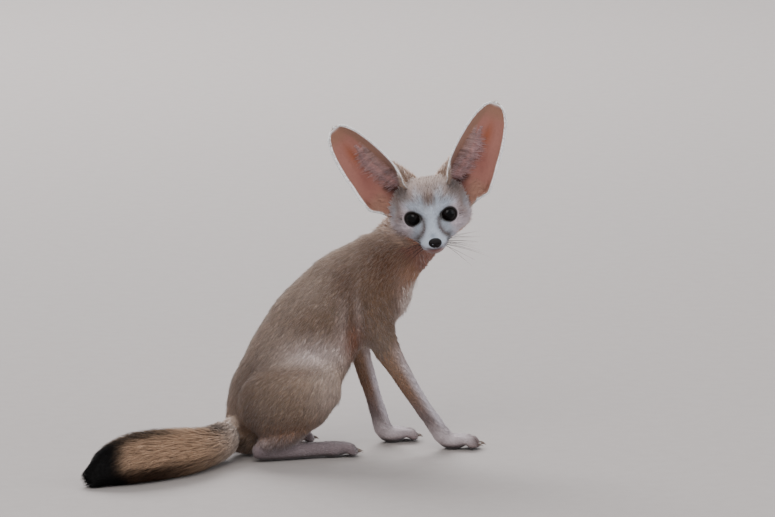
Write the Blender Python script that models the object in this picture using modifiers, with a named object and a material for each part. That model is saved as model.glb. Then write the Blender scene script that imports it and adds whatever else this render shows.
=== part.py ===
"""Fennec fox sitting on its haunches, head turned to its right: a still, life-size model.

+X runs forward along the body, +Y to the fox's left and +Z up from the floor. Lengths are in
metres; the driving sizes below are in millimetres and are scaled where they are used.
"""
import math
import random

import bmesh
import bpy
from mathutils import Matrix, Vector

MM = 0.001
GAP = 0.3

# Head: its own frame has the point between the eyes as origin, A to the fox's left, F along
# the gaze and C up, so a place on the head reads (aside, forward, up)
EYES_AT = (122.6, -45.0, 239.0)
HEAD_YAW = -108.0
HEAD_ROLL = 7.7
EYE_SPACING = 33.4
EYE_RADIUS = 9.2
EYE_DEPTH = 5.2
EYE_SPLAY = 18.0
EYE_SEGMENTS = 18
LID_THICKNESS = 1.6
LID_EDGE = 1.5
EYE_OPENING = (8.3, 7.4)
OPENING_CORNERS = 18
OPENING_FLARE = 1.7
TEAR_CORNER = 2.4
# Stations of a form: centre, then half depth and half width
SKULL = [
    ((0, -50, 5), 24, 23),
    ((0, -38, 4.5), 31.5, 33),
    ((0, -26, 2.5), 34.5, 38.5),
    ((0, -14, -1.5), 31.5, 36),
    ((0, -5, -7), 25.5, 30),
    ((0, 3, -12), 20, 23.5),
    ((0, 12, -17), 15, 17.5),
    ((0, 22, -21.2), 11.6, 13.4),
    ((0, 31, -24.3), 8.7, 10),
    ((0, 35, -25.0), 6.6, 7.4),
]
# Soft dents and swellings: place, reach and push, for the right side and mirrored to the left
DENTS = [
    ((10.5, 8, 1), 8, (-1.6, -6.0, -0.5)),
    ((20, 4, -13), 10, (-1.5, -2.0, 0.5)),
    ((17, -2, 12), 8, (0.5, 1.6, 0.6)),
    ((9, 30, -26), 7, (1.6, 0.6, -0.6)),
    ((34, -20, -14), 13, (2.0, 0.0, -1.0)),
]
NOSE_AT = (0, 37.6, -21.3)
NOSE_RADII = (6.0, 4.6, 4.3)
NOSTRIL_AT = (3.1, 41.4, -21.6)
NOSTRIL_RADIUS = 1.35
NOSTRIL_DEPTH = 2.2
NOSE_SEGMENTS = 14
NOSTRIL_SEGMENTS = 8
MOUTH = [(-16, 6, -25.5), (-12, 20, -27.5), (-7, 31, -29.2), (0, 36, -30.2)]
MOUTH_GROOVE = 0.6
MOUTH_DEPTH = 1.3
MOUTH_STEPS = 16

# Ears: length along the axis, splay from upright, and the section at each tenth of the length
EAR_BASE = (27, -40, 15)
EAR_LENGTH = 98.5
EAR_SPLAY = {"left": 31.0, "right": 34.5}
EAR_TWIST = 14.0
EAR_LEAN = 5.0
EAR_THICKNESS = 2.2
EAR_ROOT = -0.22
EAR_SECTIONS = [
    (EAR_ROOT, 9.0, 160),
    (-0.08, 13.5, 142),
    (0.05, 18.0, 118),
    (0.16, 21.5, 98),
    (0.28, 25.0, 80),
    (0.42, 27.0, 65),
    (0.57, 27.5, 57),
    (0.72, 26.5, 50),
    (0.85, 24.0, 43),
    (0.94, 20.0, 35),
    (0.985, 15.5, 25),
    (1.00, 13.0, 8),
]
EAR_ROWS = [EAR_ROOT, -0.14, -0.07] + [index / 12 for index in range(12)] + [0.965, 0.99, 1.0]
EAR_COLUMNS = 11
EAR_LEAST_ANGLE = 3.0

# Body: stations from the poll to the rump
NECK = [
    ((137, -2, 228), 24, 22),
    ((124, 0, 217), 29, 25),
    ((105, 0, 200), 33, 27),
    ((88, 0, 184), 40, 30),
]
TRUNK = [
    ((87, 0, 185), 41, 30),
    ((73, 0, 170), 49, 34),
    ((54, 0, 154), 53, 36),
    ((34, 0, 141), 51, 37),
    ((14, 0, 128), 47, 37),
    ((-1, 0, 112), 44, 37),
    ((-13, 0, 97), 42, 37),
    ((-24, 0, 78), 41, 39),
    ((-35, 0, 58.5), 40, 37),
    ((-45, 0, 41), 35, 31),
    ((-56, 0, 19), 23, 20),
]
TAIL_STUMP = [
    ((-50, 0, 40), 20, 20),
    ((-66, -5, 29), 18, 18),
    ((-83, -17, 23), 15, 15),
    ((-98, -33, 20), 15, 15.5),
]
FORELEG_RIGHT = [
    ((58, -24, 170), 30, 13),
    ((68, -27, 138), 24, 14),
    ((81, -28, 106), 16, 12),
    ((94, -28, 85), 13, 10),
    ((108.5, -28, 61), 11.5, 9),
    ((130, -28, 30), 9.6, 8.5),
    ((141, -28, 14), 9.5, 9.5),
]
FORELEG_LEFT = [
    ((50, 24, 170), 30, 13),
    ((60, 27, 130), 21, 14),
    ((72, 27, 92), 12.5, 10.5),
    ((81, 27, 62.5), 10.8, 9.2),
    ((90, 27, 35), 9.6, 8.5),
    ((96, 27, 14), 9.5, 9.5),
]
THIGH = [
    ((-58, -34, 60), 30, 18),
    ((-42, -38, 57), 36, 22),
    ((-20, -40, 60), 38, 24),
    ((-2, -40, 66), 35, 22),
    ((15, -39, 73), 25, 17),
]
SHANK = [
    ((14, -40, 60), 15, 16),
    ((-12, -41, 39), 16, 16),
    ((-36, -41, 22), 14, 12),
    ((-55, -40, 12), 9, 9),
]
FLANK = [
    ((44, -26, 128), 18, 9),
    ((34, -31, 104), 18, 9),
    ((24, -36, 82), 14, 10),
]
HINDFOOT = [
    ((-56, -40, 10), 8.5, 7.5),
    ((-30, -38, 8.5), 8.5, 8),
    ((0, -35.5, 8.5), 8, 9),
    ((22, -34, 8.5), 8, 11),
]
LEFT_LEG_BACK = -9.0
LEFT_HOCK_BACK = 10.0
LEFT_FOOT_BACK = 18.0
LEFT_FOOT_OUT = 12.0

# Paws: place of the paw's middle on the floor and its heading
PAWS = {
    "forepaw_right": ((152, -28), -14.0, 30.0),
    "forepaw_left": ((106, 28), 10.0, 30.0),
    "hindfoot_right": ((24, -34), 4.0, 28.0),
    "hindfoot_left": ((4, 47), 14.0, 28.0),
}
PAD_RADII = (15, 12.5, 8.5)
PAD_SINK = 1.0
TOES = 4
TOE_RADIUS = 4.9
TOE_PITCH = 6.3
OUTER_TOE_BACK = 3.2
# Stations along a toe and its claw: place from the pad's middle or from the toe's end, share
# of the toe's place across, height and radius
TOE_ROOT = [(2, 0.8, 9.5, TOE_RADIUS), (12, 0.95, 10.0, TOE_RADIUS)]
TOE_END = [(-9, 1.08, 7.2, TOE_RADIUS), (-4, 1.12, 4.8, 0.9 * TOE_RADIUS)]
CLAW = [(-2, 1.12, 6.2, 1.8), (3, 1.16, 5.2, 1.4), (6, 1.18, 3.0, 0.85)]

# Tail: stations of the brush from its root to its tip
BRUSH = [
    ((-83, -17, 23), 15, 15),
    ((-105, -42, 19.5), 17.5, 18),
    ((-143, -76, 21), 21.5, 22.5),
    ((-176, -93, 22.5), 23, 24.5),
    ((-205, -105, 22), 22.5, 24),
    ((-225, -111, 18.5), 18.5, 20),
    ((-238, -116, 13.5), 13, 14),
    ((-248, -119.5, 9), 5, 5),
]

# The brush's core as a share of its radius, then the locks that grow from it in rings
CORE_SHARE = 0.5
CORE_ROOT_SHARE = 1.0
CORE_SIDES = 14
BRUSH_SIDE = (0.55, -0.83, 0)
BRUSH_STEPS = 120
LOCK_SEED = 7
LOCK_RINGS = 9
LOCKS_A_RING = 8
LOCK_START = 5.0
LOCK_SPACING = 18.5
LOCK_LENGTH = 54.0
LOCK_WIDTH = 17.0
LOCK_THICKNESS = 3.4
LONG_VARIES = 0.1
WIDE_VARIES = 0.12
TURN_VARIES = 0.1
START_VARIES = 2.5
LAST_RINGS = 2
FEWER_AT_THE_END = 2
# How far the last locks reach past the end of the brush's line
LOCK_REACH = 8.0
LOCK_CLEAR = 1.0
LOCK_LEAST = 0.6
# Share of the lock's length, and its width there as a share of the widest
LOCK_STATIONS = ((0.0, 0.32), (0.35, 0.8), (0.68, 1.0), (0.88, 0.6), (1.0, 0.0))
LOCK_ROOT = 0.3
LOCK_TIP = 0.97
LOCK_SWAY = 0.12
LOCK_SOLVER = "MANIFOLD"
LOCK_MERGE = 0.002

BODY_VOXEL = 2.2
HEAD_VOXEL = 1.5
BODY_TRIANGLES = 26000

COLOURS = {
    "head": (0.62, 0.56, 0.52),
    "nose": (0.02, 0.015, 0.015),
    "ear_left": (0.55, 0.42, 0.36),
    "ear_right": (0.55, 0.42, 0.36),
    "eye_left": (0.01, 0.008, 0.008),
    "eye_right": (0.01, 0.008, 0.008),
    "neck": (0.45, 0.36, 0.29),
    "torso": (0.45, 0.38, 0.31),
    "foreleg_left": (0.60, 0.54, 0.50),
    "foreleg_right": (0.60, 0.54, 0.50),
    "forepaw_left": (0.68, 0.66, 0.68),
    "forepaw_right": (0.68, 0.66, 0.68),
    "thigh_left": (0.47, 0.40, 0.34),
    "thigh_right": (0.47, 0.40, 0.34),
    "hindfoot_left": (0.55, 0.50, 0.50),
    "hindfoot_right": (0.55, 0.50, 0.50),
    "tail": (0.46, 0.38, 0.31),
}
TRIANGLES = {
    "head": 1900,
    "neck": 320,
    "torso": 1200,
    "foreleg_left": 280,
    "foreleg_right": 320,
    "forepaw_left": 470,
    "forepaw_right": 470,
    "thigh_left": 320,
    "thigh_right": 320,
    "hindfoot_left": 520,
    "hindfoot_right": 520,
}


def mm(place):
    return Vector(place) * MM


def clear_scene():
    for thing in list(bpy.data.objects):
        bpy.data.objects.remove(thing)


def new_collection(name):
    group = bpy.data.collections.new(name)
    bpy.context.scene.collection.children.link(group)
    return group


def new_object(name, mesh, group):
    thing = bpy.data.objects.new(name, mesh)
    group.objects.link(thing)
    return thing


def head_matrix():
    """From the head's frame to the body's: the gaze is +Y of the head's frame."""
    turn = Matrix.Rotation(math.radians(HEAD_YAW - 90.0), 4, "Z")
    lean = Matrix.Rotation(math.radians(HEAD_ROLL), 4, "Y")
    # A points to the fox's left, which is -X once the gaze is +Y
    flip = Matrix.Diagonal((-1.0, 1.0, 1.0, 1.0))
    return Matrix.Translation(mm(EYES_AT)) @ turn @ lean @ flip


def smooth_value(values, place):
    """Catmull-Rom value at a place given in stations."""
    last = len(values) - 1
    index = min(int(place), last - 1)
    t = place - index
    before = values[max(index - 1, 0)]
    start = values[index]
    end = values[index + 1]
    after = values[min(index + 2, last)]
    slope_in = (end - before) * 0.5
    slope_out = (after - start) * 0.5
    t2 = t * t
    t3 = t2 * t
    return (start * (2 * t3 - 3 * t2 + 1) + slope_in * (t3 - 2 * t2 + t)
            + end * (3 * t2 - 2 * t3) + slope_out * (t3 - t2))


def form_rings(stations, steps):
    """Centres, half depths and half widths along a form, with rounded ends."""
    centres = [Vector(station[0]) for station in stations]
    depths = [station[1] for station in stations]
    widths = [station[2] for station in stations]
    count = (len(stations) - 1) * steps
    places = [index / steps for index in range(count + 1)]
    rings = [(smooth_value(centres, p), smooth_value(depths, p), smooth_value(widths, p))
             for p in places]
    first_way = (rings[0][0] - rings[1][0]).normalized()
    last_way = (rings[-1][0] - rings[-2][0]).normalized()
    start_cap = end_cap(rings[0], first_way)
    finish_cap = end_cap(rings[-1], last_way)
    return list(reversed(start_cap)) + rings + finish_cap


def end_cap(ring, way):
    centre, depth, width = ring
    reach = min(depth, width)
    cap = []
    for angle in (28, 52, 72):
        turn = math.radians(angle)
        shrink = math.cos(turn)
        cap.append((centre + way * reach * math.sin(turn), depth * shrink, width * shrink))
    return cap


def add_form(bm, stations, side=(0, 1, 0), sides=20, steps=4, place=Matrix()):
    """A closed form lofted through elliptical sections."""
    rings = form_rings(stations, steps)
    loops = []
    for index, (centre, depth, width) in enumerate(rings):
        ahead = rings[min(index + 1, len(rings) - 1)][0]
        behind = rings[max(index - 1, 0)][0]
        way = (ahead - behind).normalized()
        across = Vector(side) - way * way.dot(Vector(side))
        across.normalize()
        up = way.cross(across)
        loop = []
        for corner in range(sides):
            turn = 2 * math.pi * corner / sides
            point = centre + across * width * math.cos(turn) + up * depth * math.sin(turn)
            loop.append(bm.verts.new(place @ (point * MM)))
        loops.append(loop)
    for first, second in zip(loops, loops[1:]):
        for corner in range(sides):
            after = (corner + 1) % sides
            bm.faces.new((first[corner], first[after], second[after], second[corner]))
    bm.faces.new(list(reversed(loops[0])))
    bm.faces.new(loops[-1])


def add_ball(bm, centre, radii, place=Matrix(), segments=24):
    sized = Matrix.Diagonal((radii[0] * MM, radii[1] * MM, radii[2] * MM, 1.0))
    matrix = place @ Matrix.Translation(mm(centre)) @ sized
    bmesh.ops.create_uvsphere(bm, u_segments=segments, v_segments=segments // 2, radius=1.0,
                              matrix=matrix)


def mesh_from(bm, name):
    bmesh.ops.recalc_face_normals(bm, faces=bm.faces)
    if bm.calc_volume(signed=True) < 0:
        bmesh.ops.reverse_faces(bm, faces=bm.faces)
    mesh = bpy.data.meshes.new(name)
    bm.to_mesh(mesh)
    bm.free()
    return mesh


def apply_modifiers(thing):
    """Bake an object's modifiers into its mesh."""
    graph = bpy.context.evaluated_depsgraph_get()
    mesh = bpy.data.meshes.new_from_object(thing.evaluated_get(graph))
    thing.modifiers.clear()
    thing.data = mesh


def fuse_smooth(thing, voxel, rounds):
    """One smooth closed skin round all the forms in a mesh."""
    remesh = thing.modifiers.new("One skin", "REMESH")
    remesh.mode = "VOXEL"
    remesh.voxel_size = voxel * MM
    soften = thing.modifiers.new("Soft", "SMOOTH")
    soften.factor = 0.5
    soften.iterations = rounds
    apply_modifiers(thing)


def thin_out(thing, triangles):
    """Collapse a mesh to about this many triangles."""
    now = sum(len(face.vertices) - 2 for face in thing.data.polygons)
    if now > triangles:
        fewer = thing.modifiers.new("Fewer faces", "DECIMATE")
        fewer.ratio = triangles / now
        apply_modifiers(thing)


def keep_largest(thing, merge=0.02):
    """Drop every loose scrap and sealed hollow: the largest closed surface stays."""
    bm = bmesh.new()
    bm.from_mesh(thing.data)
    bmesh.ops.remove_doubles(bm, verts=bm.verts, dist=merge * MM)
    bmesh.ops.dissolve_degenerate(bm, edges=bm.edges, dist=merge * MM / 2)
    left = set(bm.verts)
    largest = []
    while left:
        start = left.pop()
        group = [start]
        stack = [start]
        while stack:
            vert = stack.pop()
            for edge in vert.link_edges:
                other = edge.other_vert(vert)
                if other in left:
                    left.remove(other)
                    group.append(other)
                    stack.append(other)
        if len(group) > len(largest):
            largest = group
    kept = set(largest)
    bmesh.ops.delete(bm, geom=[vert for vert in bm.verts if vert not in kept], context="VERTS")
    bmesh.ops.triangulate(bm, faces=bm.faces)
    bm.to_mesh(thing.data)
    bm.free()


def combine(thing, other, operation, solver="EXACT"):
    """Apply one Boolean with another object."""
    joined = thing.modifiers.new("Boolean", "BOOLEAN")
    joined.operation = operation
    joined.solver = solver
    joined.object = other
    apply_modifiers(thing)


def box_cutter(name, centre, size, cutters, tilt=0.0, heading=0.0, grow=0.0):
    """A box whose top middle is at centre, tilted about Y and headed about Z."""
    bm = bmesh.new()
    bmesh.ops.create_cube(bm, size=1.0)
    long, wide, tall = (side + 2 * grow for side in size)
    bmesh.ops.scale(bm, vec=Vector((long, wide, tall)) * MM, verts=bm.verts)
    drop = Matrix.Translation(Vector((0, 0, grow - tall / 2)) * MM)
    turn = Matrix.Rotation(math.radians(heading), 4, "Z") @ Matrix.Rotation(math.radians(tilt), 4, "Y")
    bm.transform(Matrix.Translation(mm(centre)) @ turn @ drop)
    box = new_object(name, mesh_from(bm, name), cutters)
    box.hide_render = True
    box.display_type = "WIRE"
    return box


def copy_of(thing, name, group):
    return new_object(name, thing.data.copy(), group)


def mirrored(stations, back=0.0):
    return [((c[0] - back, -c[1], c[2]), depth, width) for c, depth, width in stations]


def sheared(stations, back_first, back_last, out_last=0.0):
    """Move stations back and outwards by amounts that grow evenly along the form."""
    last = len(stations) - 1
    moved = []
    for index, (c, depth, width) in enumerate(stations):
        share = index / last
        back = back_first + (back_last - back_first) * share
        moved.append(((c[0] - back, c[1] + out_last * share, c[2]), depth, width))
    return moved


def toe_stations(stations, start, aside):
    return [((start + along, aside * share, height), radius, radius)
            for along, share, height, radius in stations]


def add_paw(bm, spot, heading, toe_length):
    """A pad with four toes and their claws, pointing along its heading."""
    place = Matrix.Translation(mm((spot[0], spot[1], 0)))
    place = place @ Matrix.Rotation(math.radians(heading), 4, "Z")
    add_ball(bm, (0, 0, PAD_RADII[2] - PAD_SINK), PAD_RADII, place)
    for index in range(TOES):
        from_middle = index - (TOES - 1) / 2
        aside = from_middle * TOE_PITCH
        reach = toe_length - abs(from_middle) * OUTER_TOE_BACK
        toe = toe_stations(TOE_ROOT, 0, aside) + toe_stations(TOE_END, reach, aside)
        add_form(bm, toe, sides=12, steps=3, place=place)
        add_form(bm, toe_stations(CLAW, reach, aside), sides=8, steps=2, place=place)


def make_body(work):
    """The whole body but the head and the brush, as one smooth skin cut flat at the floor."""
    bm = bmesh.new()
    add_form(bm, NECK)
    add_form(bm, TRUNK, sides=28)
    add_form(bm, TAIL_STUMP)
    add_form(bm, FORELEG_RIGHT)
    add_form(bm, FORELEG_LEFT)
    add_form(bm, THIGH)
    add_form(bm, SHANK)
    add_form(bm, HINDFOOT)
    add_form(bm, FLANK)
    add_form(bm, mirrored(FLANK, LEFT_LEG_BACK))
    add_form(bm, mirrored(THIGH, LEFT_LEG_BACK))
    add_form(bm, sheared(mirrored(SHANK), LEFT_LEG_BACK, LEFT_HOCK_BACK))
    add_form(bm, sheared(mirrored(HINDFOOT), LEFT_HOCK_BACK, LEFT_FOOT_BACK, LEFT_FOOT_OUT))
    for spot, heading, toe_length in PAWS.values():
        add_paw(bm, spot, heading, toe_length)
    body = new_object("body", mesh_from(bm, "body"), work)
    fuse_smooth(body, BODY_VOXEL, 5)
    return body


def make_head(work):
    place = head_matrix()
    bm = bmesh.new()
    add_form(bm, SKULL, side=(1, 0, 0), sides=32, steps=5, place=place)
    add_form(bm, NECK)
    head = new_object("head", mesh_from(bm, "head"), work)
    fuse_smooth(head, HEAD_VOXEL, 14)
    press(head, place)
    return head


def press(head, place):
    """Push soft dents and swellings into the head's surface, alike on both sides."""
    back = place.inverted()
    for vert in head.data.vertices:
        spot = (back @ vert.co) / MM
        move = Vector()
        for side in (-1, 1):
            for centre, reach, push in DENTS:
                away = (spot - Vector((side * centre[0], centre[1], centre[2]))).length / reach
                if away < 2.5:
                    share = math.exp(-away * away)
                    move += Vector((side * push[0], push[1], push[2])) * share
        if move.length > 0.01:
            vert.co = place @ ((spot + move) * MM)


def eye_centre(side):
    return (side * EYE_SPACING / 2, -EYE_DEPTH, 0.0)


def eye_axis(side):
    """From the eye's own frame, +Y out of the eye, to the head's."""
    return Matrix.Translation(mm(eye_centre(side))) @ Matrix.Rotation(
        math.radians(-side * EYE_SPLAY), 4, "Z")


def opening_outline(side, grow=0.0):
    """The gap between the lids, an oval drawn out to the tear corner, in the eye's own frame."""
    outline = []
    for corner in range(OPENING_CORNERS):
        turn = 2 * math.pi * corner / OPENING_CORNERS
        inner = max(0.0, -side * math.cos(turn)) ** 5
        wide = (EYE_OPENING[0] + grow) * math.cos(turn) - side * TEAR_CORNER * inner
        tall = (EYE_OPENING[1] + grow) * math.sin(turn) - TEAR_CORNER * 0.5 * inner
        outline.append((wide, tall))
    return outline


def lofted(bm, loops):
    """Join loops of like length to a tube; the caller closes its ends."""
    for first, second in zip(loops, loops[1:]):
        for corner in range(len(first)):
            after = (corner + 1) % len(first)
            bm.faces.new((first[corner], first[after], second[after], second[corner]))


def opening_cutter(side, cutters):
    """What is cut out in front of the eye: it flares, so that the skin slopes to the lids."""
    place = head_matrix() @ eye_axis(side)
    bm = bmesh.new()
    loops = []
    for forward, flare in ((1.0, 1.0), (EYE_RADIUS / 2, 1.0), (22.0, OPENING_FLARE)):
        loops.append([bm.verts.new(place @ mm((wide * flare, forward, tall * flare)))
                      for wide, tall in opening_outline(side)])
    lofted(bm, loops)
    bm.faces.new(loops[0])
    bm.faces.new(list(reversed(loops[-1])))
    return cutter_object("eye opening", bm, cutters)


def lid_rim(side, cutters):
    """The lids' thick edge: a ring that lies on the eye all round the opening."""
    place = head_matrix() @ eye_axis(side)
    bm = bmesh.new()
    loops = []
    for wide, tall in opening_outline(side, LID_EDGE / 2):
        reach = EYE_RADIUS + LID_EDGE / 2
        forward = math.sqrt(max(reach * reach - wide * wide - tall * tall, 1.0))
        centre = Vector((wide, forward, tall))
        out = centre.normalized()
        aside = Vector((wide, 0, tall)).normalized()
        aside = (aside - out * out.dot(aside)).normalized()
        loop = []
        for corner in range(6):
            turn = math.pi * corner / 3
            spot = centre + (out * math.cos(turn) + aside * math.sin(turn)) * LID_EDGE
            loop.append(bm.verts.new(place @ mm(spot)))
        loops.append(loop)
    lofted(bm, loops + loops[:1])
    return cutter_object("lid rim", bm, cutters)


def cutter_object(name, bm, cutters):
    cutter = new_object(name, mesh_from(bm, name), cutters)
    cutter.hide_render = True
    cutter.display_type = "WIRE"
    return cutter


def ball_cutter(name, centre, radii, place, cutters, segments=24):
    bm = bmesh.new()
    add_ball(bm, centre, radii, place, segments)
    return cutter_object(name, bm, cutters)


def mouth_cutter(head, cutters):
    """A fine groove that follows the lips from one corner of the mouth to the other."""
    half = [Vector(point) for point in MOUTH]
    other = [Vector((-point[0], point[1], point[2])) for point in reversed(MOUTH[:-1])]
    path = half + other
    place = head_matrix()
    back = place.inverted()
    bm = bmesh.new()
    stations = []
    for index in range(MOUTH_STEPS + 1):
        point = smooth_value(path, index / MOUTH_STEPS * (len(path) - 1))
        found, spot, normal, face = head.closest_point_on_mesh(place @ (point * MM))
        stations.append((tuple((back @ spot) / MM), MOUTH_GROOVE, MOUTH_DEPTH))
    add_form(bm, stations, side=(0, 0.9, 0.3), sides=6, steps=1, place=place)
    return cutter_object("mouth line", bm, cutters)


def carve_head(head, cutters):
    """Sockets, lids, mouth line and the seat of the nose."""
    place = head_matrix()
    for side in (-1, 1):
        lid = EYE_RADIUS + LID_THICKNESS
        combine(head, ball_cutter("lids", eye_centre(side), (lid,) * 3, place, cutters,
                                  EYE_SEGMENTS), "UNION")
        combine(head, opening_cutter(side, cutters), "DIFFERENCE")
        combine(head, lid_rim(side, cutters), "UNION")
        socket = EYE_RADIUS + GAP
        combine(head, ball_cutter("socket", eye_centre(side), (socket,) * 3, place, cutters,
                                  EYE_SEGMENTS), "DIFFERENCE")
    combine(head, mouth_cutter(head, cutters), "DIFFERENCE")
    seat = [radius + GAP for radius in NOSE_RADII]
    combine(head, ball_cutter("nose seat", NOSE_AT, seat, place, cutters, NOSE_SEGMENTS),
            "DIFFERENCE")
    keep_largest(head)


def make_eye(name, side, group):
    bm = bmesh.new()
    add_ball(bm, eye_centre(side), (EYE_RADIUS,) * 3, head_matrix(), EYE_SEGMENTS)
    return new_object(name, mesh_from(bm, name), group)


def make_nose(group, cutters):
    """The nose pad with its two nostrils."""
    place = head_matrix()
    bm = bmesh.new()
    add_ball(bm, NOSE_AT, NOSE_RADII, place, NOSE_SEGMENTS)
    nose = new_object("nose", mesh_from(bm, "nose"), group)
    for side in (-1, 1):
        spot = (side * NOSTRIL_AT[0], NOSTRIL_AT[1], NOSTRIL_AT[2])
        size = (NOSTRIL_RADIUS, NOSTRIL_DEPTH, NOSTRIL_RADIUS)
        hole = ball_cutter("nostril", spot, size, place, cutters, NOSTRIL_SEGMENTS)
        combine(nose, hole, "DIFFERENCE")
    keep_largest(nose)
    return nose


def ear_section(share):
    """Radius and half angle of the ear's cupped section at a share of its length."""
    shares = [section[0] for section in EAR_SECTIONS]
    for index in range(len(shares) - 1):
        if share <= shares[index + 1]:
            break
    within = (share - shares[index]) / (shares[index + 1] - shares[index])
    place = index + within
    radius = smooth_value([section[1] for section in EAR_SECTIONS], place)
    angle = smooth_value([section[2] for section in EAR_SECTIONS], place)
    return radius, math.radians(max(angle, EAR_LEAST_ANGLE))


def make_ear(name, side, group, head):
    """A thin cup: an open sheet rolled round the ear's axis and thickened inwards."""
    splay = Matrix.Rotation(math.radians(side * EAR_SPLAY[name[4:]]), 4, "Y")
    twist = Matrix.Rotation(math.radians(-side * EAR_TWIST), 4, "Z")
    base = Matrix.Translation(mm((side * EAR_BASE[0], EAR_BASE[1], EAR_BASE[2])))
    place = head_matrix() @ base @ splay @ twist
    bm = bmesh.new()
    grid = []
    for share in EAR_ROWS:
        radius, angle = ear_section(share)
        line = []
        for index in range(EAR_COLUMNS + 1):
            turn = (index / EAR_COLUMNS * 2 - 1) * angle
            forward = radius * (1 - math.cos(turn)) + EAR_LEAN * share * share
            aside = radius * math.sin(turn)
            line.append(bm.verts.new(place @ mm((aside, forward, share * EAR_LENGTH))))
        grid.append(line)
    for low, high in zip(grid, grid[1:]):
        for index in range(EAR_COLUMNS):
            corners = (low[index], low[index + 1], high[index + 1], high[index])
            bm.faces.new(corners)
    bmesh.ops.triangulate(bm, faces=bm.faces)
    ear = new_object(name, mesh_from(bm, name), group)
    shell = ear.modifiers.new("Shell", "SOLIDIFY")
    shell.thickness = EAR_THICKNESS * MM
    shell.offset = 0.0
    apply_modifiers(ear)
    combine(ear, head, "DIFFERENCE")
    keep_largest(ear)
    return ear


def grown_copy(thing, name, group, distance):
    """A copy pushed out along its normals, to cut a neighbour with a gap."""
    grown = copy_of(thing, name, group)
    push = grown.modifiers.new("Grow", "DISPLACE")
    push.strength = distance * MM
    push.mid_level = 0.0
    apply_modifiers(grown)
    return grown


# Where the body is parted: top middle, size and tilt of each box
PARTS = {
    "foreleg_right": ((80, -34, 107), (64, 62, 190), -33.0),
    "foreleg_left": ((69, 34, 103), (36, 62, 150), -16.0),
    "thigh_right": ((-10, -66, 99), (140, 62, 80.5), 0.0),
    "thigh_left": ((-20, 66, 99), (132, 62, 80.5), 0.0),
    "hindfoot_right": ((-4, -56, 18.2), (150, 66, 18.2), 0.0),
    "hindfoot_left": ((-14, 56, 18.2), (160, 66, 18.2), 0.0),
    "forepaw_right": ((165, -36, 21), (90, 64, 21), 0.0),
    "forepaw_left": ((119, 36, 21), (84, 64, 21), 0.0),
}
HEAD_PLANE = ((106, 0, 200.5), 47.8)
TORSO_PLANE = ((80, 0, 175), 36.9)
TAIL_PLANE = ((-88, -23, 22), 229.0)
HALF_SPACE = 700.0
STUMP_TOP = 60.0
ROUGH_MARGIN = 4.0


def below(name, plane, cutters, lift=0.0):
    """A box that fills the side of a tilted plane that its normal points away from."""
    (x, y, z), tilt = plane
    turn = math.radians(tilt)
    spot = (x + math.sin(turn) * lift, y, z + math.cos(turn) * lift)
    return box_cutter(name, spot, (HALF_SPACE,) * 3, cutters, tilt)


def behind_tail_plane(cutters, lift):
    """A box that fills the tail's side of the upright plane where the brush starts."""
    (x, y, z), heading = TAIL_PLANE
    way = Vector((math.cos(math.radians(heading)), math.sin(math.radians(heading)), 0))
    centre = Vector((x, y, STUMP_TOP)) + way * (HALF_SPACE / 2 + lift)
    return box_cutter("tail side", centre, (HALF_SPACE,) * 3, cutters, heading=heading)


def cut_part(name, body, group, cutters):
    """One named part of the body: cropped roughly, thinned out, then cut exactly."""
    centre, size, tilt = PARTS[name]
    part = copy_of(body, name, group)
    combine(part, box_cutter("rough " + name, centre, size, cutters, tilt, grow=ROUGH_MARGIN),
            "INTERSECT")
    keep_largest(part)
    thin_out(part, TRIANGLES[name])
    combine(part, box_cutter("exact " + name, centre, size, cutters, tilt), "INTERSECT")
    return part


def part_body(body, group, cutters):
    """The torso, neck, legs and paws, parted by thin gaps."""
    for name in PARTS:
        part = cut_part(name, body, group, cutters)
        for other in PARTS:
            if NEXT_DOWN.get(name) == other:
                centre, size, tilt = PARTS[other]
                combine(part, box_cutter("gap " + other, centre, size, cutters, tilt, grow=GAP),
                        "DIFFERENCE")
        keep_largest(part)
    neck = copy_of(body, "neck", group)
    combine(neck, below("rough head side", HEAD_PLANE, cutters, ROUGH_MARGIN), "INTERSECT")
    combine(neck, below("rough torso side", TORSO_PLANE, cutters, -ROUGH_MARGIN), "DIFFERENCE")
    keep_largest(neck)
    thin_out(neck, TRIANGLES["neck"])
    combine(neck, below("head side", HEAD_PLANE, cutters, -GAP / 2), "INTERSECT")
    combine(neck, below("torso side", TORSO_PLANE, cutters, GAP / 2), "DIFFERENCE")
    keep_largest(neck)
    cut_torso(body, group, cutters)


def cut_torso(body, group, cutters):
    """What is left of the body once the other parts are cut away."""
    torso = copy_of(body, "torso", group)
    keep_largest(torso)
    combine(torso, below("rough neck side", TORSO_PLANE, cutters, ROUGH_MARGIN), "INTERSECT")
    for name, (centre, size, tilt) in PARTS.items():
        rough = box_cutter("rough " + name, centre, size, cutters, tilt, grow=-ROUGH_MARGIN)
        combine(torso, rough, "DIFFERENCE")
    keep_largest(torso)
    thin_out(torso, TRIANGLES["torso"])
    combine(torso, below("neck side", TORSO_PLANE, cutters, -GAP / 2), "INTERSECT")
    for name, (centre, size, tilt) in PARTS.items():
        gap = box_cutter("gap " + name, centre, size, cutters, tilt, grow=GAP)
        combine(torso, gap, "DIFFERENCE")
    combine(torso, behind_tail_plane(cutters, -GAP / 2), "DIFFERENCE")
    combine(torso, floor_slab(cutters), "DIFFERENCE")
    keep_largest(torso)


# Each leg part is parted from the one below it
NEXT_DOWN = {
    "foreleg_right": "forepaw_right",
    "foreleg_left": "forepaw_left",
    "thigh_right": "hindfoot_right",
    "thigh_left": "hindfoot_left",
}


def floor_slab(cutters):
    return box_cutter("floor", (0, 0, 0), (900, 900, 60), cutters)


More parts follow.
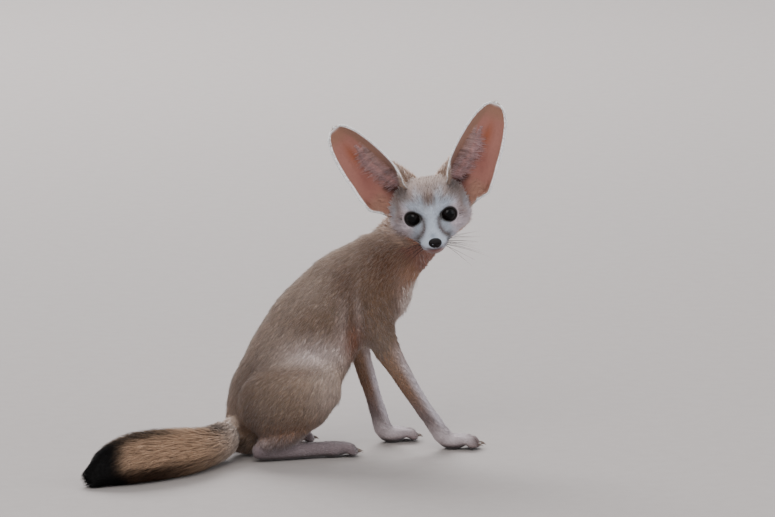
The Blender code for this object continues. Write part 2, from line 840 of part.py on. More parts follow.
def brush_frame(place):
    """Centre, way, across, up, half depth and half width of the brush at a place in stations."""
    centres = [Vector(station[0]) for station in BRUSH]
    centre = smooth_value(centres, place)
    ahead = smooth_value(centres, min(place + 0.05, len(BRUSH) - 1))
    behind = smooth_value(centres, max(place - 0.05, 0.0))
    way = (ahead - behind).normalized()
    across = Vector((way.y, -way.x, 0)).normalized()
    up = across.cross(way)
    depth = smooth_value([station[1] for station in BRUSH], place)
    width = smooth_value([station[2] for station in BRUSH], place)
    return centre, way, across, up, depth, width


def brush_places():
    """A table from length along the brush to its place in stations, and the whole length."""
    last = len(BRUSH) - 1
    places = [index / BRUSH_STEPS * last for index in range(BRUSH_STEPS + 1)]
    centres = [smooth_value([Vector(station[0]) for station in BRUSH], p) for p in places]
    lengths = [0.0]
    for before, after in zip(centres, centres[1:]):
        lengths.append(lengths[-1] + (after - before).length)
    return places, lengths


def place_at(length, places, lengths):
    for index in range(len(lengths) - 1):
        if length <= lengths[index + 1]:
            within = (length - lengths[index]) / (lengths[index + 1] - lengths[index])
            return places[index] + within * (places[index + 1] - places[index])
    return places[-1]


def add_lock(bm, start, turn, long, wide, places, lengths):
    """One flat, tapered lock: it leaves the core, arches out and lies back along the brush."""
    loops = []
    whole = lengths[-1]
    for share, taper in LOCK_STATIONS:
        along = start + long * share
        centre, way, across, up, depth, width = brush_frame(place_at(along, places, lengths))
        past_end = 1 - math.exp(-max(0.0, along - whole) / LOCK_REACH)
        centre = centre + way * LOCK_REACH * past_end
        narrow = math.sqrt(1 - past_end * past_end)
        sweep = turn + LOCK_SWAY * math.sin(start) * share
        out = (across * (math.cos(sweep) * width) + up * (math.sin(sweep) * depth)) * narrow
        side = (up * math.cos(sweep) - across * math.sin(sweep)).normalized()
        rise = LOCK_ROOT + (LOCK_TIP - LOCK_ROOT) * math.sin(share * math.pi / 2)
        point = centre + out * rise
        point.z = max(point.z, LOCK_CLEAR)
        half_wide = wide / 2 * taper * max(narrow, LOCK_LEAST)
        half_thick = LOCK_THICKNESS / 2 * taper
        lift = out.normalized()
        if taper == 0.0:
            loops.append([bm.verts.new(point * MM)])
        else:
            corners = (side * half_wide, lift * half_thick, -side * half_wide, -lift * half_thick)
            loops.append([bm.verts.new((point + corner) * MM) for corner in corners])
    for first, second in zip(loops[:-2], loops[1:-1]):
        for corner in range(4):
            after = (corner + 1) % 4
            bm.faces.new((first[corner], first[after], second[after], second[corner]))
    tip = loops[-1][0]
    for corner in range(4):
        bm.faces.new((loops[-2][corner], loops[-2][(corner + 1) % 4], tip))
    bm.faces.new(list(reversed(loops[0])))


def core_stations():
    """The core fills the stump's end and thins to half the brush's radius."""
    stations = []
    for index, (centre, depth, width) in enumerate(BRUSH):
        share = CORE_ROOT_SHARE if index == 0 else CORE_SHARE
        stations.append((centre, depth * share, width * share))
    return stations


def make_tail(group, cutters):
    """The brush lying on the floor: a thin core with rings of overlapping locks."""
    draw = random.Random(LOCK_SEED)
    bm = bmesh.new()
    add_form(bm, core_stations(), side=BRUSH_SIDE, sides=CORE_SIDES, steps=3)
    tail = new_object("tail", mesh_from(bm, "tail"), group)
    locks = new_collection("locks")
    places, lengths = brush_places()
    for ring in range(LOCK_RINGS):
        start = LOCK_START + ring * LOCK_SPACING
        count = LOCKS_A_RING
        if ring >= LOCK_RINGS - LAST_RINGS:
            count -= FEWER_AT_THE_END
        for index in range(count):
            turn = 2 * math.pi * (index + 0.5 * (ring % 2)) / count
            turn += draw.uniform(-TURN_VARIES, TURN_VARIES)
            long = LOCK_LENGTH * (1 + draw.uniform(-LONG_VARIES, LONG_VARIES))
            wide = LOCK_WIDTH * (1 + draw.uniform(-WIDE_VARIES, WIDE_VARIES))
            root = start + draw.uniform(-START_VARIES, START_VARIES)
            bm = bmesh.new()
            add_lock(bm, root, turn, long, wide, places, lengths)
            new_object("lock", mesh_from(bm, "lock"), locks)
    fuse = tail.modifiers.new("Locks", "BOOLEAN")
    fuse.operation = "UNION"
    fuse.operand_type = "COLLECTION"
    fuse.collection = locks
    fuse.solver = LOCK_SOLVER
    apply_modifiers(tail)
    remove_collection(locks)
    keep_largest(tail, LOCK_MERGE)
    combine(tail, behind_tail_plane(cutters, GAP / 2), "INTERSECT", LOCK_SOLVER)
    combine(tail, floor_slab(cutters), "DIFFERENCE", LOCK_SOLVER)
    keep_largest(tail, LOCK_MERGE)
    return tail


def colour(thing):
    """Each part gets its own matt coat colour; eyes and nose are dark and glossy."""
    glossy = thing.name.startswith("eye") or thing.name == "nose"
    finish = bpy.data.materials.new(thing.name + " coat")
    finish.use_nodes = True
    shader = finish.node_tree.nodes["Principled BSDF"]
    shader.inputs["Base Color"].default_value = COLOURS[thing.name] + (1.0,)
    shader.inputs["Roughness"].default_value = 0.15 if glossy else 0.85
    shader.inputs["Metallic"].default_value = 0.0
    finish.diffuse_color = COLOURS[thing.name] + (1.0,)
    thing.data.materials.clear()
    thing.data.materials.append(finish)
    if thing.name.startswith("eye"):
        thing.data.shade_smooth()


def centre_on_floor(group):
    """Put the origin in the middle of the footprint, at floor level."""
    spots = [vert.co for thing in group.objects for vert in thing.data.vertices]
    low = [min(spot[axis] for spot in spots) for axis in range(3)]
    high = [max(spot[axis] for spot in spots) for axis in range(3)]
    move = Vector((-(low[0] + high[0]) / 2, -(low[1] + high[1]) / 2, -low[2]))
    for thing in group.objects:
        thing.data.transform(Matrix.Translation(move))


def remove_collection(group):
    for thing in list(group.objects):
        bpy.data.objects.remove(thing)
    bpy.data.collections.remove(group)


def main():
    clear_scene()
    group = new_collection("fennec_fox")
    cutters = new_collection("cutters")
    work = new_collection("work")
    body = make_body(work)
    thin_out(body, BODY_TRIANGLES)
    part_body(body, group, cutters)
    head = make_head(work)
    thin_out(head, TRIANGLES["head"])
    combine(head, below("neck side", HEAD_PLANE, cutters, GAP / 2), "DIFFERENCE")
    keep_largest(head)
    seat = grown_copy(head, "ear seat", work, GAP)
    carve_head(head, cutters)
    work.objects.unlink(head)
    group.objects.link(head)
    for side, name in ((1, "left"), (-1, "right")):
        make_eye("eye_" + name, side, group)
        make_ear("ear_" + name, side, group, seat)
    make_nose(group, cutters)
    make_tail(group, cutters)
    remove_collection(work)
    remove_collection(cutters)
    for thing in group.objects:
        colour(thing)
    centre_on_floor(group)


if __name__ == "__main__":
    main()
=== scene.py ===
import math

import bmesh
import bpy
import numpy as np
from mathutils import Matrix, Vector
from mathutils.kdtree import KDTree


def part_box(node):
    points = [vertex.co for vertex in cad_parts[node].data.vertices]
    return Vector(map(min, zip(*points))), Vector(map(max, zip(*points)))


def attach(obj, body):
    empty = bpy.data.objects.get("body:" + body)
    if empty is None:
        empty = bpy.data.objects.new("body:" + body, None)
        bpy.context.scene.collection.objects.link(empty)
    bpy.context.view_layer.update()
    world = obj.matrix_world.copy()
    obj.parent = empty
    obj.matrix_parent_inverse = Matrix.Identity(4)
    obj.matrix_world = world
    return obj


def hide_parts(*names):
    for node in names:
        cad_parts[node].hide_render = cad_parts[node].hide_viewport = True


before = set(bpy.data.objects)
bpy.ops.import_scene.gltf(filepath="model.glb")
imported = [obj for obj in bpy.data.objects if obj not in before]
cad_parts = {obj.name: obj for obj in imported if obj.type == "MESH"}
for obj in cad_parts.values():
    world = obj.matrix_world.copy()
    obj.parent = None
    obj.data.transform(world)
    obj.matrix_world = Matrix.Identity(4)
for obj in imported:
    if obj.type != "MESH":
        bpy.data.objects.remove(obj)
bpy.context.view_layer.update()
mm = 0.001
# heights over the floor, in metres: the lowest of the skin and of a tuft, and where the coat starts
skinFloor = 0.0004
tuftFloor = 0.0003
coatFloor = 0.0012
print("frame is in")

# Places on the fox, in millimetres. The body's own frame has +X forward, +Y to the fox's left and
# +Z up from the floor; the head's has the point between the eyes as origin and reads
# (aside to the fox's left, forward along the gaze, up).
betweenEyes = (122.6, -45.0, 239.0)
eyeDepth = 5.2
eyeRadius = 9.2
eyeSplay = 18.0
noseAt = (0.0, 37.6, -21.3)
brush = [
    ((-83, -17, 23), 15, 15),
    ((-105, -42, 19.5), 17.5, 18),
    ((-143, -76, 21), 21.5, 22.5),
    ((-176, -93, 22.5), 23, 24.5),
    ((-205, -105, 22), 22.5, 24),
    ((-225, -111, 18.5), 18.5, 20),
    ((-238, -116, 13.5), 13, 14),
    ((-248, -119.5, 9), 5, 5),
]


def unit(vectors):
    return vectors / np.maximum(np.linalg.norm(vectors, axis=-1, keepdims=True), 1e-12)


def alongSurface(ways, normals):
    return unit(ways - normals * np.sum(ways * normals, axis=1)[:, None])


def middle(node):
    low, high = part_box(node)
    return (np.array(low) + np.array(high)) / 2


def headAxes():
    # the eyes give the way to the fox's left, and the nose then gives the gaze
    left, right, nose = middle("eye_left"), middle("eye_right"), middle("nose")
    centre = (left + right) / 2
    aside = unit(left - right)
    toNose = nose - centre
    toNose = unit(toNose - aside * toNose.dot(aside))
    across = np.cross(toNose, aside)
    droop = math.atan2(noseAt[2], noseAt[1] + eyeDepth)
    forward = toNose * math.cos(droop) - across * math.sin(droop)
    up = toNose * math.sin(droop) + across * math.cos(droop)
    return centre + forward * eyeDepth * mm, np.array([aside, forward, up]), (left - right)


headOrigin, headWays, eyeGap = headAxes()
eyeAside = np.linalg.norm(eyeGap) / mm / 2
bodyShift = headOrigin - np.array(betweenEyes) * mm


def fromHead(points):
    return headOrigin + np.asarray(points, float) * mm @ headWays


def toHead(points):
    return (points - headOrigin) @ headWays.T / mm


def fromBody(points):
    return bodyShift + np.asarray(points, float) * mm


def toBody(points):
    return (points - bodyShift) / mm


def smoothAt(values, places):
    # Catmull-Rom values at places given in stations
    values = np.asarray(values, float)
    if values.ndim == 1:
        values = values[:, None]
    last = len(values) - 1
    index = np.clip(places.astype(int), 0, last - 1)
    t = (places - index)[:, None]
    start, end = values[index], values[index + 1]
    slopeIn = (end - values[np.maximum(index - 1, 0)]) / 2
    slopeOut = (values[np.minimum(index + 2, last)] - start) / 2
    return (start * (2 * t**3 - 3 * t**2 + 1) + slopeIn * (t**3 - 2 * t**2 + t)
            + end * (3 * t**2 - 2 * t**3) + slopeOut * (t**3 - t**2))


def ramp(values, low, high):
    t = np.clip((values - low) / (high - low), 0, 1)
    return t * t * (3 - 2 * t)


def patch(points, centre, reach):
    return np.exp(-np.sum(((points - np.array(centre)) / np.array(reach)) ** 2, axis=1))


def bell(values, centre, reach):
    return np.exp(-((values - centre) / reach) ** 2)


def treeOf(points):
    tree = KDTree(len(points))
    for index, point in enumerate(points):
        tree.insert(point, index)
    tree.balance()
    return tree


def meshFrom(name, verts, faces, colours=None, uvs=None):
    # faces is one array of triangles or of quads
    mesh = bpy.data.meshes.new(name)
    mesh.vertices.add(len(verts))
    mesh.vertices.foreach_set("co", np.ascontiguousarray(verts, np.float32).ravel())
    mesh.loops.add(faces.size)
    mesh.loops.foreach_set("vertex_index", np.ascontiguousarray(faces, np.int32).ravel())
    mesh.polygons.add(len(faces))
    mesh.polygons.foreach_set("loop_start", np.arange(len(faces), dtype=np.int32) * faces.shape[1])
    if uvs is not None:
        layer = mesh.uv_layers.new(name="OFBake")
        layer.data.foreach_set("uv", np.ascontiguousarray(uvs, np.float32).ravel())
    if colours is not None:
        layer = mesh.attributes.new("coat", "FLOAT_COLOR", "POINT")
        full = np.ones((len(verts), 4), np.float32)
        full[:, :3] = colours
        layer.data.foreach_set("color", full.ravel())
    mesh.update(calc_edges=True)
    mesh.shade_smooth()
    piece = bpy.data.objects.new(name, mesh)
    bpy.context.scene.collection.objects.link(piece)
    return piece


def arraysOf(mesh):
    mesh.calc_loop_triangles()
    verts = np.empty(len(mesh.vertices) * 3)
    mesh.vertices.foreach_get("co", verts)
    tris = np.empty(len(mesh.loop_triangles) * 3, np.int32)
    mesh.loop_triangles.foreach_get("vertices", tris)
    return verts.reshape(-1, 3), tris.reshape(-1, 3)


def vertexNormals(verts, tris):
    faces = np.cross(verts[tris[:, 1]] - verts[tris[:, 0]], verts[tris[:, 2]] - verts[tris[:, 0]])
    total = np.zeros_like(verts)
    for corner in range(3):
        for axis in range(3):
            total[:, axis] += np.bincount(tris[:, corner], faces[:, axis], len(verts))
    return unit(total)


def evened(values, tris, steps):
    # move values towards their neighbours' mean, by each step's share in turn
    edges = np.concatenate([tris[:, [0, 1]], tris[:, [1, 2]], tris[:, [2, 0]]])
    count = len(values)
    degree = np.maximum(np.bincount(edges[:, 0], minlength=count), 1)
    flat = values.reshape(count, -1).astype(float)
    for step in steps:
        near = np.stack([np.bincount(edges[:, 0], column[edges[:, 1]], count)
                         for column in flat.T], 1)
        flat += (near / degree[:, None] - flat) * step
    return flat.reshape(values.shape)


def spread(values, tris, rounds):
    return evened(values, tris, [0.5] * rounds)


def softened(verts, tris, pairs):
    # each pair smooths and then swells back, so toes and lips keep their size
    return evened(verts, tris, [0.5, -0.52] * pairs)


# Flesh: the solids of head, body and legs become one soft skin, sunk by the depth of the coat
fleshLook = {
    "nodes": ["head", "nose", "eye_left", "eye_right", "neck", "torso",
              "foreleg_left", "foreleg_right", "forepaw_left", "forepaw_right",
              "thigh_left", "thigh_right", "hindfoot_left", "hindfoot_right"],
    "voxel": 1.85,
    "swell": 0.3,
    "softPairs": 7,
    "finePairs": 4,
    "fineFace": ((-32, -14, -36), (32, 44, 20)),
    "finePaw": ((-2, -20, -99), (40, 20, 24)),
    "bodyRounds": 30,
    "haunchRounds": 110,
    "haunch": [((-16, 44, 98), (50, 26, 22)), ((-62, 38, 60), (24, 26, 40))],
    "earRoots": [((11, -44, 18), 13.5), ((23, -47, 35), 9.5), ((33, -48, 50), 4.0)],
    "coreShare": 0.6,
    "rootShare": 0.95,
    "coatDepth": {"head": 1.8, "nose": 0.6, "eye": 0.8, "neck": 3.0, "torso": 2.8, "foreleg": 1.5,
                  "forepaw": 0.8, "thigh": 2.6, "hindfoot": 0.8, "tail": 0.2},
    "faceDepth": 0.8,
}
kinds = list(fleshLook["coatDepth"])
mergeStep = 2e-6


def kindOf(node):
    return kinds.index(node.split("_")[0])


def solidOf(node):
    verts, tris = arraysOf(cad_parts[node].data)
    # corners that share a place become one point
    firsts, back = np.unique(np.round(verts / mergeStep).astype(np.int64), axis=0,
                             return_index=True, return_inverse=True)[1:]
    return verts[firsts], back.reshape(-1)[tris]


def brushFrame(places):
    centres = [station[0] for station in brush]
    centre = smoothAt(centres, places)
    last = len(brush) - 1
    way = unit(smoothAt(centres, np.minimum(places + 0.05, last - 1e-6))
               - smoothAt(centres, np.maximum(places - 0.05, 0)))
    across = unit(np.stack([way[:, 1], -way[:, 0], np.zeros(len(way))], 1))
    up = np.cross(across, way)
    depth = smoothAt([station[1] for station in brush], places)
    width = smoothAt([station[2] for station in brush], places)
    return centre, way, across, up, depth, width


def loft(rings, closed=True):
    # rings is (ring, corner, 3); each end is closed by a fan
    count, sides = rings.shape[:2]
    verts = rings.reshape(-1, 3)
    ring = np.arange(count - 1)[:, None] * sides
    corner = np.arange(sides)[None, :]
    after = (corner + 1) % sides
    a, b = ring + corner, ring + after
    c, d = b + sides, a + sides
    tris = np.concatenate([np.stack([a, b, c], -1).reshape(-1, 3),
                           np.stack([a, c, d], -1).reshape(-1, 3)])
    if closed:
        ends = np.array([rings[0].mean(0), rings[-1].mean(0)])
        first, last = len(verts), len(verts) + 1
        verts = np.concatenate([verts, ends])
        corner = np.arange(sides)
        after = (corner + 1) % sides
        start = np.stack([after, corner, np.full(sides, first)], 1)
        top = (count - 1) * sides
        finish = np.stack([top + corner, top + after, np.full(sides, last)], 1)
        tris = np.concatenate([tris, start, finish])
    return verts, tris


def brushCore():
    places = np.linspace(0, len(brush) - 1.02, 60)
    centre, _, across, up, depth, width = brushFrame(places)
    # the core is full at the root, where the fur is short
    core = fleshLook["coreShare"]
    share = core + (fleshLook["rootShare"] - core) * (1 - ramp(places, 0, 0.9))
    share = (share * np.sqrt(np.clip((len(brush) - 1 - places) / 0.6, 0, 1)))[:, None]
    turns = np.linspace(0, 2 * math.pi, 24, endpoint=False)[None, :, None]
    rings = (centre[:, None] + across[:, None] * np.cos(turns) * (width * share)[:, None]
             + up[:, None] * np.sin(turns) * (depth * share)[:, None])
    verts, tris = loft(rings)
    return fromBody(verts), tris


def volumeOf(verts, tris):
    spots = verts - verts.mean(0)
    return np.sum(spots[tris[:, 0]] * np.cross(spots[tris[:, 1]], spots[tris[:, 2]]))


def facingOut(verts, tris):
    return tris[:, ::-1] if volumeOf(verts, tris) < 0 else tris


def earRoot(side):
    # the furred root that shows behind each ear's inner edge
    stations = fleshLook["earRoots"]
    places = np.linspace(0, len(stations) - 1.001, 16)
    centre = smoothAt([station[0] for station in stations], places) * [side, 1, 1]
    radius = smoothAt([station[1] for station in stations], places)
    turns = np.linspace(0, 2 * math.pi, 20, endpoint=False)[None, :, None]
    way = unit(centre[-1] - centre[0])
    across = unit(np.cross(way, [0.0, 1.0, 0.0]))
    up = np.cross(across, way)
    rings = centre[:, None] + (across * np.cos(turns) - up * np.sin(turns)) * radius[:, None]
    verts, tris = loft(rings)
    verts = fromHead(verts)
    return verts, facingOut(verts, tris)


def joinedFlesh():
    verts, tris, count = [], [], 0
    solids = [(node, solidOf(node)) for node in fleshLook["nodes"]] + [("tail", brushCore())]
    solids += [("head", earRoot(side)) for side in (1, -1)]
    places, labels = [], []
    for name, (spots, faces) in solids:
        swell = 0 if name == "tail" else fleshLook["swell"]
        verts.append(spots + vertexNormals(spots, faces) * swell * mm)
        tris.append(faces + count)
        count += len(spots)
        places += [spots, spots[faces].mean(1)]
        labels += [kindOf(name)] * (len(spots) + len(faces))
    return np.concatenate(verts), np.concatenate(tris), treeOf(np.concatenate(places)), np.array(labels)


def oneSkin(verts, tris):
    flesh = meshFrom("flesh", verts, tris)
    remesh = flesh.modifiers.new("One skin", "REMESH")
    remesh.mode = "VOXEL"
    remesh.voxel_size = fleshLook["voxel"] * mm
    graph = bpy.context.evaluated_depsgraph_get()
    mesh = bpy.data.meshes.new_from_object(flesh.evaluated_get(graph))
    bpy.data.objects.remove(flesh)
    bm = bmesh.new()
    bm.from_mesh(mesh)
    bmesh.ops.triangulate(bm, faces=bm.faces)
    bm.to_mesh(mesh)
    spots, faces = arraysOf(mesh)
    for vert, spot in zip(bm.verts, softened(spots, faces, fleshLook["softPairs"])):
        vert.co = spot
    # finer faces on the front of the head and on the toes
    spots = np.array([vert.co for vert in bm.verts])
    local = toHead(spots)
    low, high = fleshLook["fineFace"]
    near = np.all((local > low) & (local < high), axis=1)
    low, high = fleshLook["finePaw"]
    for paw in pawLook["paws"]:
        place = np.stack(onPaw(spots, paw), 1)
        near |= np.all((place > low) & (place < high), axis=1)
    fine = [edge for edge in bm.edges if near[edge.verts[0].index] and near[edge.verts[1].index]]
    bmesh.ops.subdivide_edges(bm, edges=fine, cuts=1, use_grid_fill=True)
    bmesh.ops.triangulate(bm, faces=bm.faces)
    bm.to_mesh(mesh)
    bm.free()
    spots, faces = arraysOf(mesh)
    bpy.data.meshes.remove(mesh)
    return softened(spots, faces, fleshLook["finePairs"]), faces


def easedTrunk(spots, faces):
    # the trunk, shoulders and thighs run into each other; head, feet and tail keep their form
    body = toBody(spots)
    loose = ramp(body[:, 2], 30, 50) * ramp(228 - body[:, 2], 0, 20)
    loose *= ramp(210 - body[:, 0] - body[:, 2] * 0.25, 50, 70) * ramp(body[:, 0], -80, -60)
    soft = spread(spots, faces, fleshLook["bodyRounds"])
    spots = spots + (soft - spots) * loose[:, None]
    even = np.abs(body) * [0, 1, 0] + body * [1, 0, 1]
    haunch = np.zeros(len(spots))
    for centre, reach in fleshLook["haunch"]:
        haunch = np.maximum(haunch, patch(even, centre, reach))
    soft = spread(spots, faces, fleshLook["haunchRounds"])
    return spots + (soft - spots) * haunch[:, None]


# Paws: middle and heading on the floor, and how far the middle toes reach
pawLook = {
    "paws": {
        "forepaw_right": ((152, -28), -14.0, 30.0),
        "forepaw_left": ((106, 28), 10.0, 30.0),
        "hindfoot_right": ((24, -34), 4.0, 28.0),
        "hindfoot_left": ((4, 47), 14.0, 28.0),
    },
    "toes": 4,
    "pitch": 7.0,
    "outerBack": 3.2,
    "groove": 3.2,
    "grooveWidth": 1.3,
    "knuckle": 1.5,
}


def onPaw(points, paw):
    # along the paw from its middle, aside to the left, and above the floor
    (x, y), heading, _ = pawLook["paws"][paw]
    turn = math.radians(heading)
    spots = toBody(points) - np.array([x, y, 0])
    along = spots[:, 0] * math.cos(turn) + spots[:, 1] * math.sin(turn)
    aside = spots[:, 1] * math.cos(turn) - spots[:, 0] * math.sin(turn)
    return along, aside, spots[:, 2]


def aboutPaws(points, ahead):
    # for each paw: which points are near it, their along, aside and above, its reach and its name
    for paw, (_, _, reach) in pawLook["paws"].items():
        along, aside, above = onPaw(points, paw)
        near = (above < 22) & (np.abs(aside) < 18) & (along > 0) & (along < reach + ahead)
        yield near, along[near], aside[near], above[near], reach, paw


fleshVerts, fleshTris, nodeTree, nodeLabels = joinedFlesh()
skinVerts, skinTris = oneSkin(fleshVerts, fleshTris)
skinVerts = easedTrunk(skinVerts, skinTris)
skinKinds = np.array([nodeLabels[nodeTree.find(spot)[1]] for spot in skinVerts])
print("one skin:", len(skinVerts), "points,", len(skinTris), "triangles")


def sinkByCoat(verts, tris, labels):
    depths = np.array([fleshLook["coatDepth"][kind] for kind in kinds])[labels]
    spots = toHead(verts)
    face = ramp(spots[:, 1], -26, -4) * (labels == kinds.index("head"))
    depths = depths + (fleshLook["faceDepth"] - depths) * face
    depths = spread(depths, tris, 24)
    return verts - vertexNormals(verts, tris) * depths[:, None] * mm


def eyeCentre(side):
    return np.array([side * eyeAside, -eyeDepth, 0.0])


def toEye(points, side):
    # the eye's own frame has +Y out of the eye
    turn = math.radians(-side * eyeSplay)
    local = points - eyeCentre(side)
    return np.stack([local[:, 0] * math.cos(turn) + local[:, 1] * math.sin(turn),
                     -local[:, 0] * math.sin(turn) + local[:, 1] * math.cos(turn),
                     local[:, 2]], 1)


def fromEye(points, side):
    turn = math.radians(-side * eyeSplay)
    return np.stack([points[:, 0] * math.cos(turn) - points[:, 1] * math.sin(turn),
                     points[:, 0] * math.sin(turn) + points[:, 1] * math.cos(turn),
                     points[:, 2]], 1) + eyeCentre(side)


lidLook = {
    "opening": (8.1, 7.3),
    "tearCorner": 3.0,
    "rimWidth": 1.15,
    "rimHeight": 0.8,
    "skinLift": 0.55,
    "dip": 1.0,
    "around": 24,
    "tone": (22, 14, 13),
    "sides": 8,
    "steps": 72,
}


def lidOutline(turns, side):
    wide, tall = lidLook["opening"]
    inner = np.maximum(0, -side * np.cos(turns)) ** 6
    return np.stack([wide * np.cos(turns) - side * lidLook["tearCorner"] * inner,
                     tall * np.sin(turns) - lidLook["tearCorner"] * 0.55 * inner], -1)


def fromLids(spots, side):
    # places in the eye's frame, and how far out they are, with 1 on the lids' edge
    local = toEye(spots, side)
    wide, tall = lidLook["opening"]
    turns = np.arctan2(local[:, 2] / tall, local[:, 0] / wide)
    return local, np.hypot(local[:, 0], local[:, 2]) / np.linalg.norm(lidOutline(turns, side), axis=1)


def setLids(verts):
    # the skin dips behind the eye inside the opening and lies on it as lids outside
    spots = toHead(verts)
    for side in (-1, 1):
        local, part = fromLids(spots, side)
        reach = np.linalg.norm(local, axis=1)
        near = (reach < lidLook["around"]) & (local[:, 1] > 0)
        now, part = reach[near], part[near]
        inside = eyeRadius - lidLook["dip"]
        onLid = eyeRadius + lidLook["skinLift"]
        target = inside + (onLid - inside) * ramp(part, 0.93, 1.06)
        blend = ramp(part, 1.12, 1.75)
        wanted = target * (1 - blend) + now * blend
        spots[near] = fromEye(local[near] * (wanted / now)[:, None], side)
    return fromHead(spots)


mouthLook = {
    "path": [(-16, 23, -22.5), (-12.5, 32, -25.0), (-8.5, 37, -26.6), (0, 39.5, -27.8)],
    "groove": 1.5,
    "grooveWidth": 0.8,
    "lip": 0.5,
    "lipAway": (2.2, 1.0),
    "chin": 1.5,
    "chinAt": ((0, 30, -31), (9, 9, 3.5)),
    "pads": 1.2,
    "padsAt": ((11, 24, 23), (5, 9, 5)),
}


def mouthLine():
    half = mouthLook["path"]
    path = half + [(-a, f, c) for a, f, c in reversed(half[:-1])]
    return smoothAt(path, np.linspace(0, len(path) - 1.001, 60))


def nearestOn(path, points):
    return np.min(np.linalg.norm(points[:, None] - path[None], axis=2), axis=1)


def pressMouth(verts, tris):
    spots = toHead(verts)
    near = (spots[:, 2] < -17) & (spots[:, 1] > 2) & (np.abs(spots[:, 0]) < 24)
    away = nearestOn(mouthLine(), spots[near])
    push = (mouthLook["groove"] * bell(away, 0, mouthLook["grooveWidth"])
            - mouthLook["lip"] * bell(away, *mouthLook["lipAway"])
            - mouthLook["chin"] * patch(spots[near], *mouthLook["chinAt"])
            - mouthLook["pads"] * patch(np.abs(spots[near]), *mouthLook["padsAt"]))
    normals = vertexNormals(verts, tris)[near]
    verts[near] -= normals * push[:, None] * mm
    return verts


def toeGaps(along, aside, reach):
    # 1 in the gaps between the toes
    gaps = np.zeros(len(along))
    half = pawLook["toes"] / 2 - 1
    for gap in np.arange(-half, half + 0.1):
        border = gap * pawLook["pitch"] * (1 + 0.015 * (along - reach + 10))
        gaps += bell(aside, border, pawLook["grooveWidth"])
    return gaps


def pressToes(verts, tris):
    # grooves between the toes, and a knuckle on each
    push = np.zeros(len(verts))
    for near, along, aside, above, reach, _ in aboutPaws(verts, 9):
        start = ramp(along, reach - 20, reach - 11)
        lift = ramp(above, 1.5, 4.0)
        deep = pawLook["groove"] * toeGaps(along, aside, reach)
        back = np.abs(aside) / pawLook["pitch"] * pawLook["outerBack"]
        joint = along - (reach - 7 - back)
        bump = bell(joint, 0, 3.0) - 0.8 * bell(joint, 6.5, 2.2)
        push[near] += deep * start * lift - pawLook["knuckle"] * bump * lift
    return verts - vertexNormals(verts, tris) * push[:, None] * mm


skinVerts = sinkByCoat(skinVerts, skinTris, skinKinds)
skinVerts = pressToes(pressMouth(setLids(skinVerts), skinTris), skinTris)
skinVerts[:, 2] = np.maximum(skinVerts[:, 2], skinFloor)
skinNormals = vertexNormals(skinVerts, skinTris)
print("lids and lips are in")


# Colours: named tones of the coat, then where each lies
def tone(r, g, b, light=1.0):
    values = np.array([r, g, b]) / 255
    return light * np.where(values <= 0.04045, values / 12.92, ((values + 0.055) / 1.055) ** 2.4)


coatLight = 1.30
tones = {name: tone(*values, coatLight) for name, values in {
    "flank": (138, 114, 95),
    # the pale back tone is painted rim light
    "back": (172, 152, 138),
    "belly": (196, 178, 164),
    "shoulder": (124, 94, 70),
    "neck": (96, 61, 36),
    "chest": (188, 142, 115),
    "breast": (196, 172, 162),
    "armpit": (122, 66, 31),
    "fold": (214, 198, 194),
    "knee": (212, 194, 184),
    "thigh": (164, 138, 115),
    "lowThigh": (140, 100, 72),
    # the tone of painted shade in creases
    "creaseShade": (104, 76, 56),
    "rump": (108, 88, 76),
    "foreleg": (142, 110, 88),
    "legWhite": (206, 198, 204),
    "legRear": (130, 98, 78),
    "paw": (178, 166, 168),
    # the tone of painted shade between the toes
    "toeGapShade": (58, 44, 42),
    "pad": (62, 48, 48),
    "hindfoot": (118, 104, 106),
    "tailRoot": (176, 160, 150),
    "tailBuff": (170, 141, 117),
    "tailUnderTipsAndShade": (46, 28, 18),
    "tailDark": (7, 5, 5),
    "faceWhite": (172, 179, 191),
    "forehead": (112, 90, 80),
    "crown": (137, 118, 107),
    "nape": (146, 118, 98),
    "throat": (182, 132, 106),
    "cheek": (126, 102, 92),
    "cheekPale": (196, 182, 188),
    "tear": (66, 44, 36),
    "streak": (104, 84, 72),
    "whiskerSpot": (66, 54, 54),
    "noseShade": (92, 102, 116),
    "earShade": (64, 44, 35),
    # the tone of painted shade on the paws
    "pawShade": (110, 86, 82),
    "lip": (70, 34, 28),
    "chin": (128, 80, 66),
}.items()}

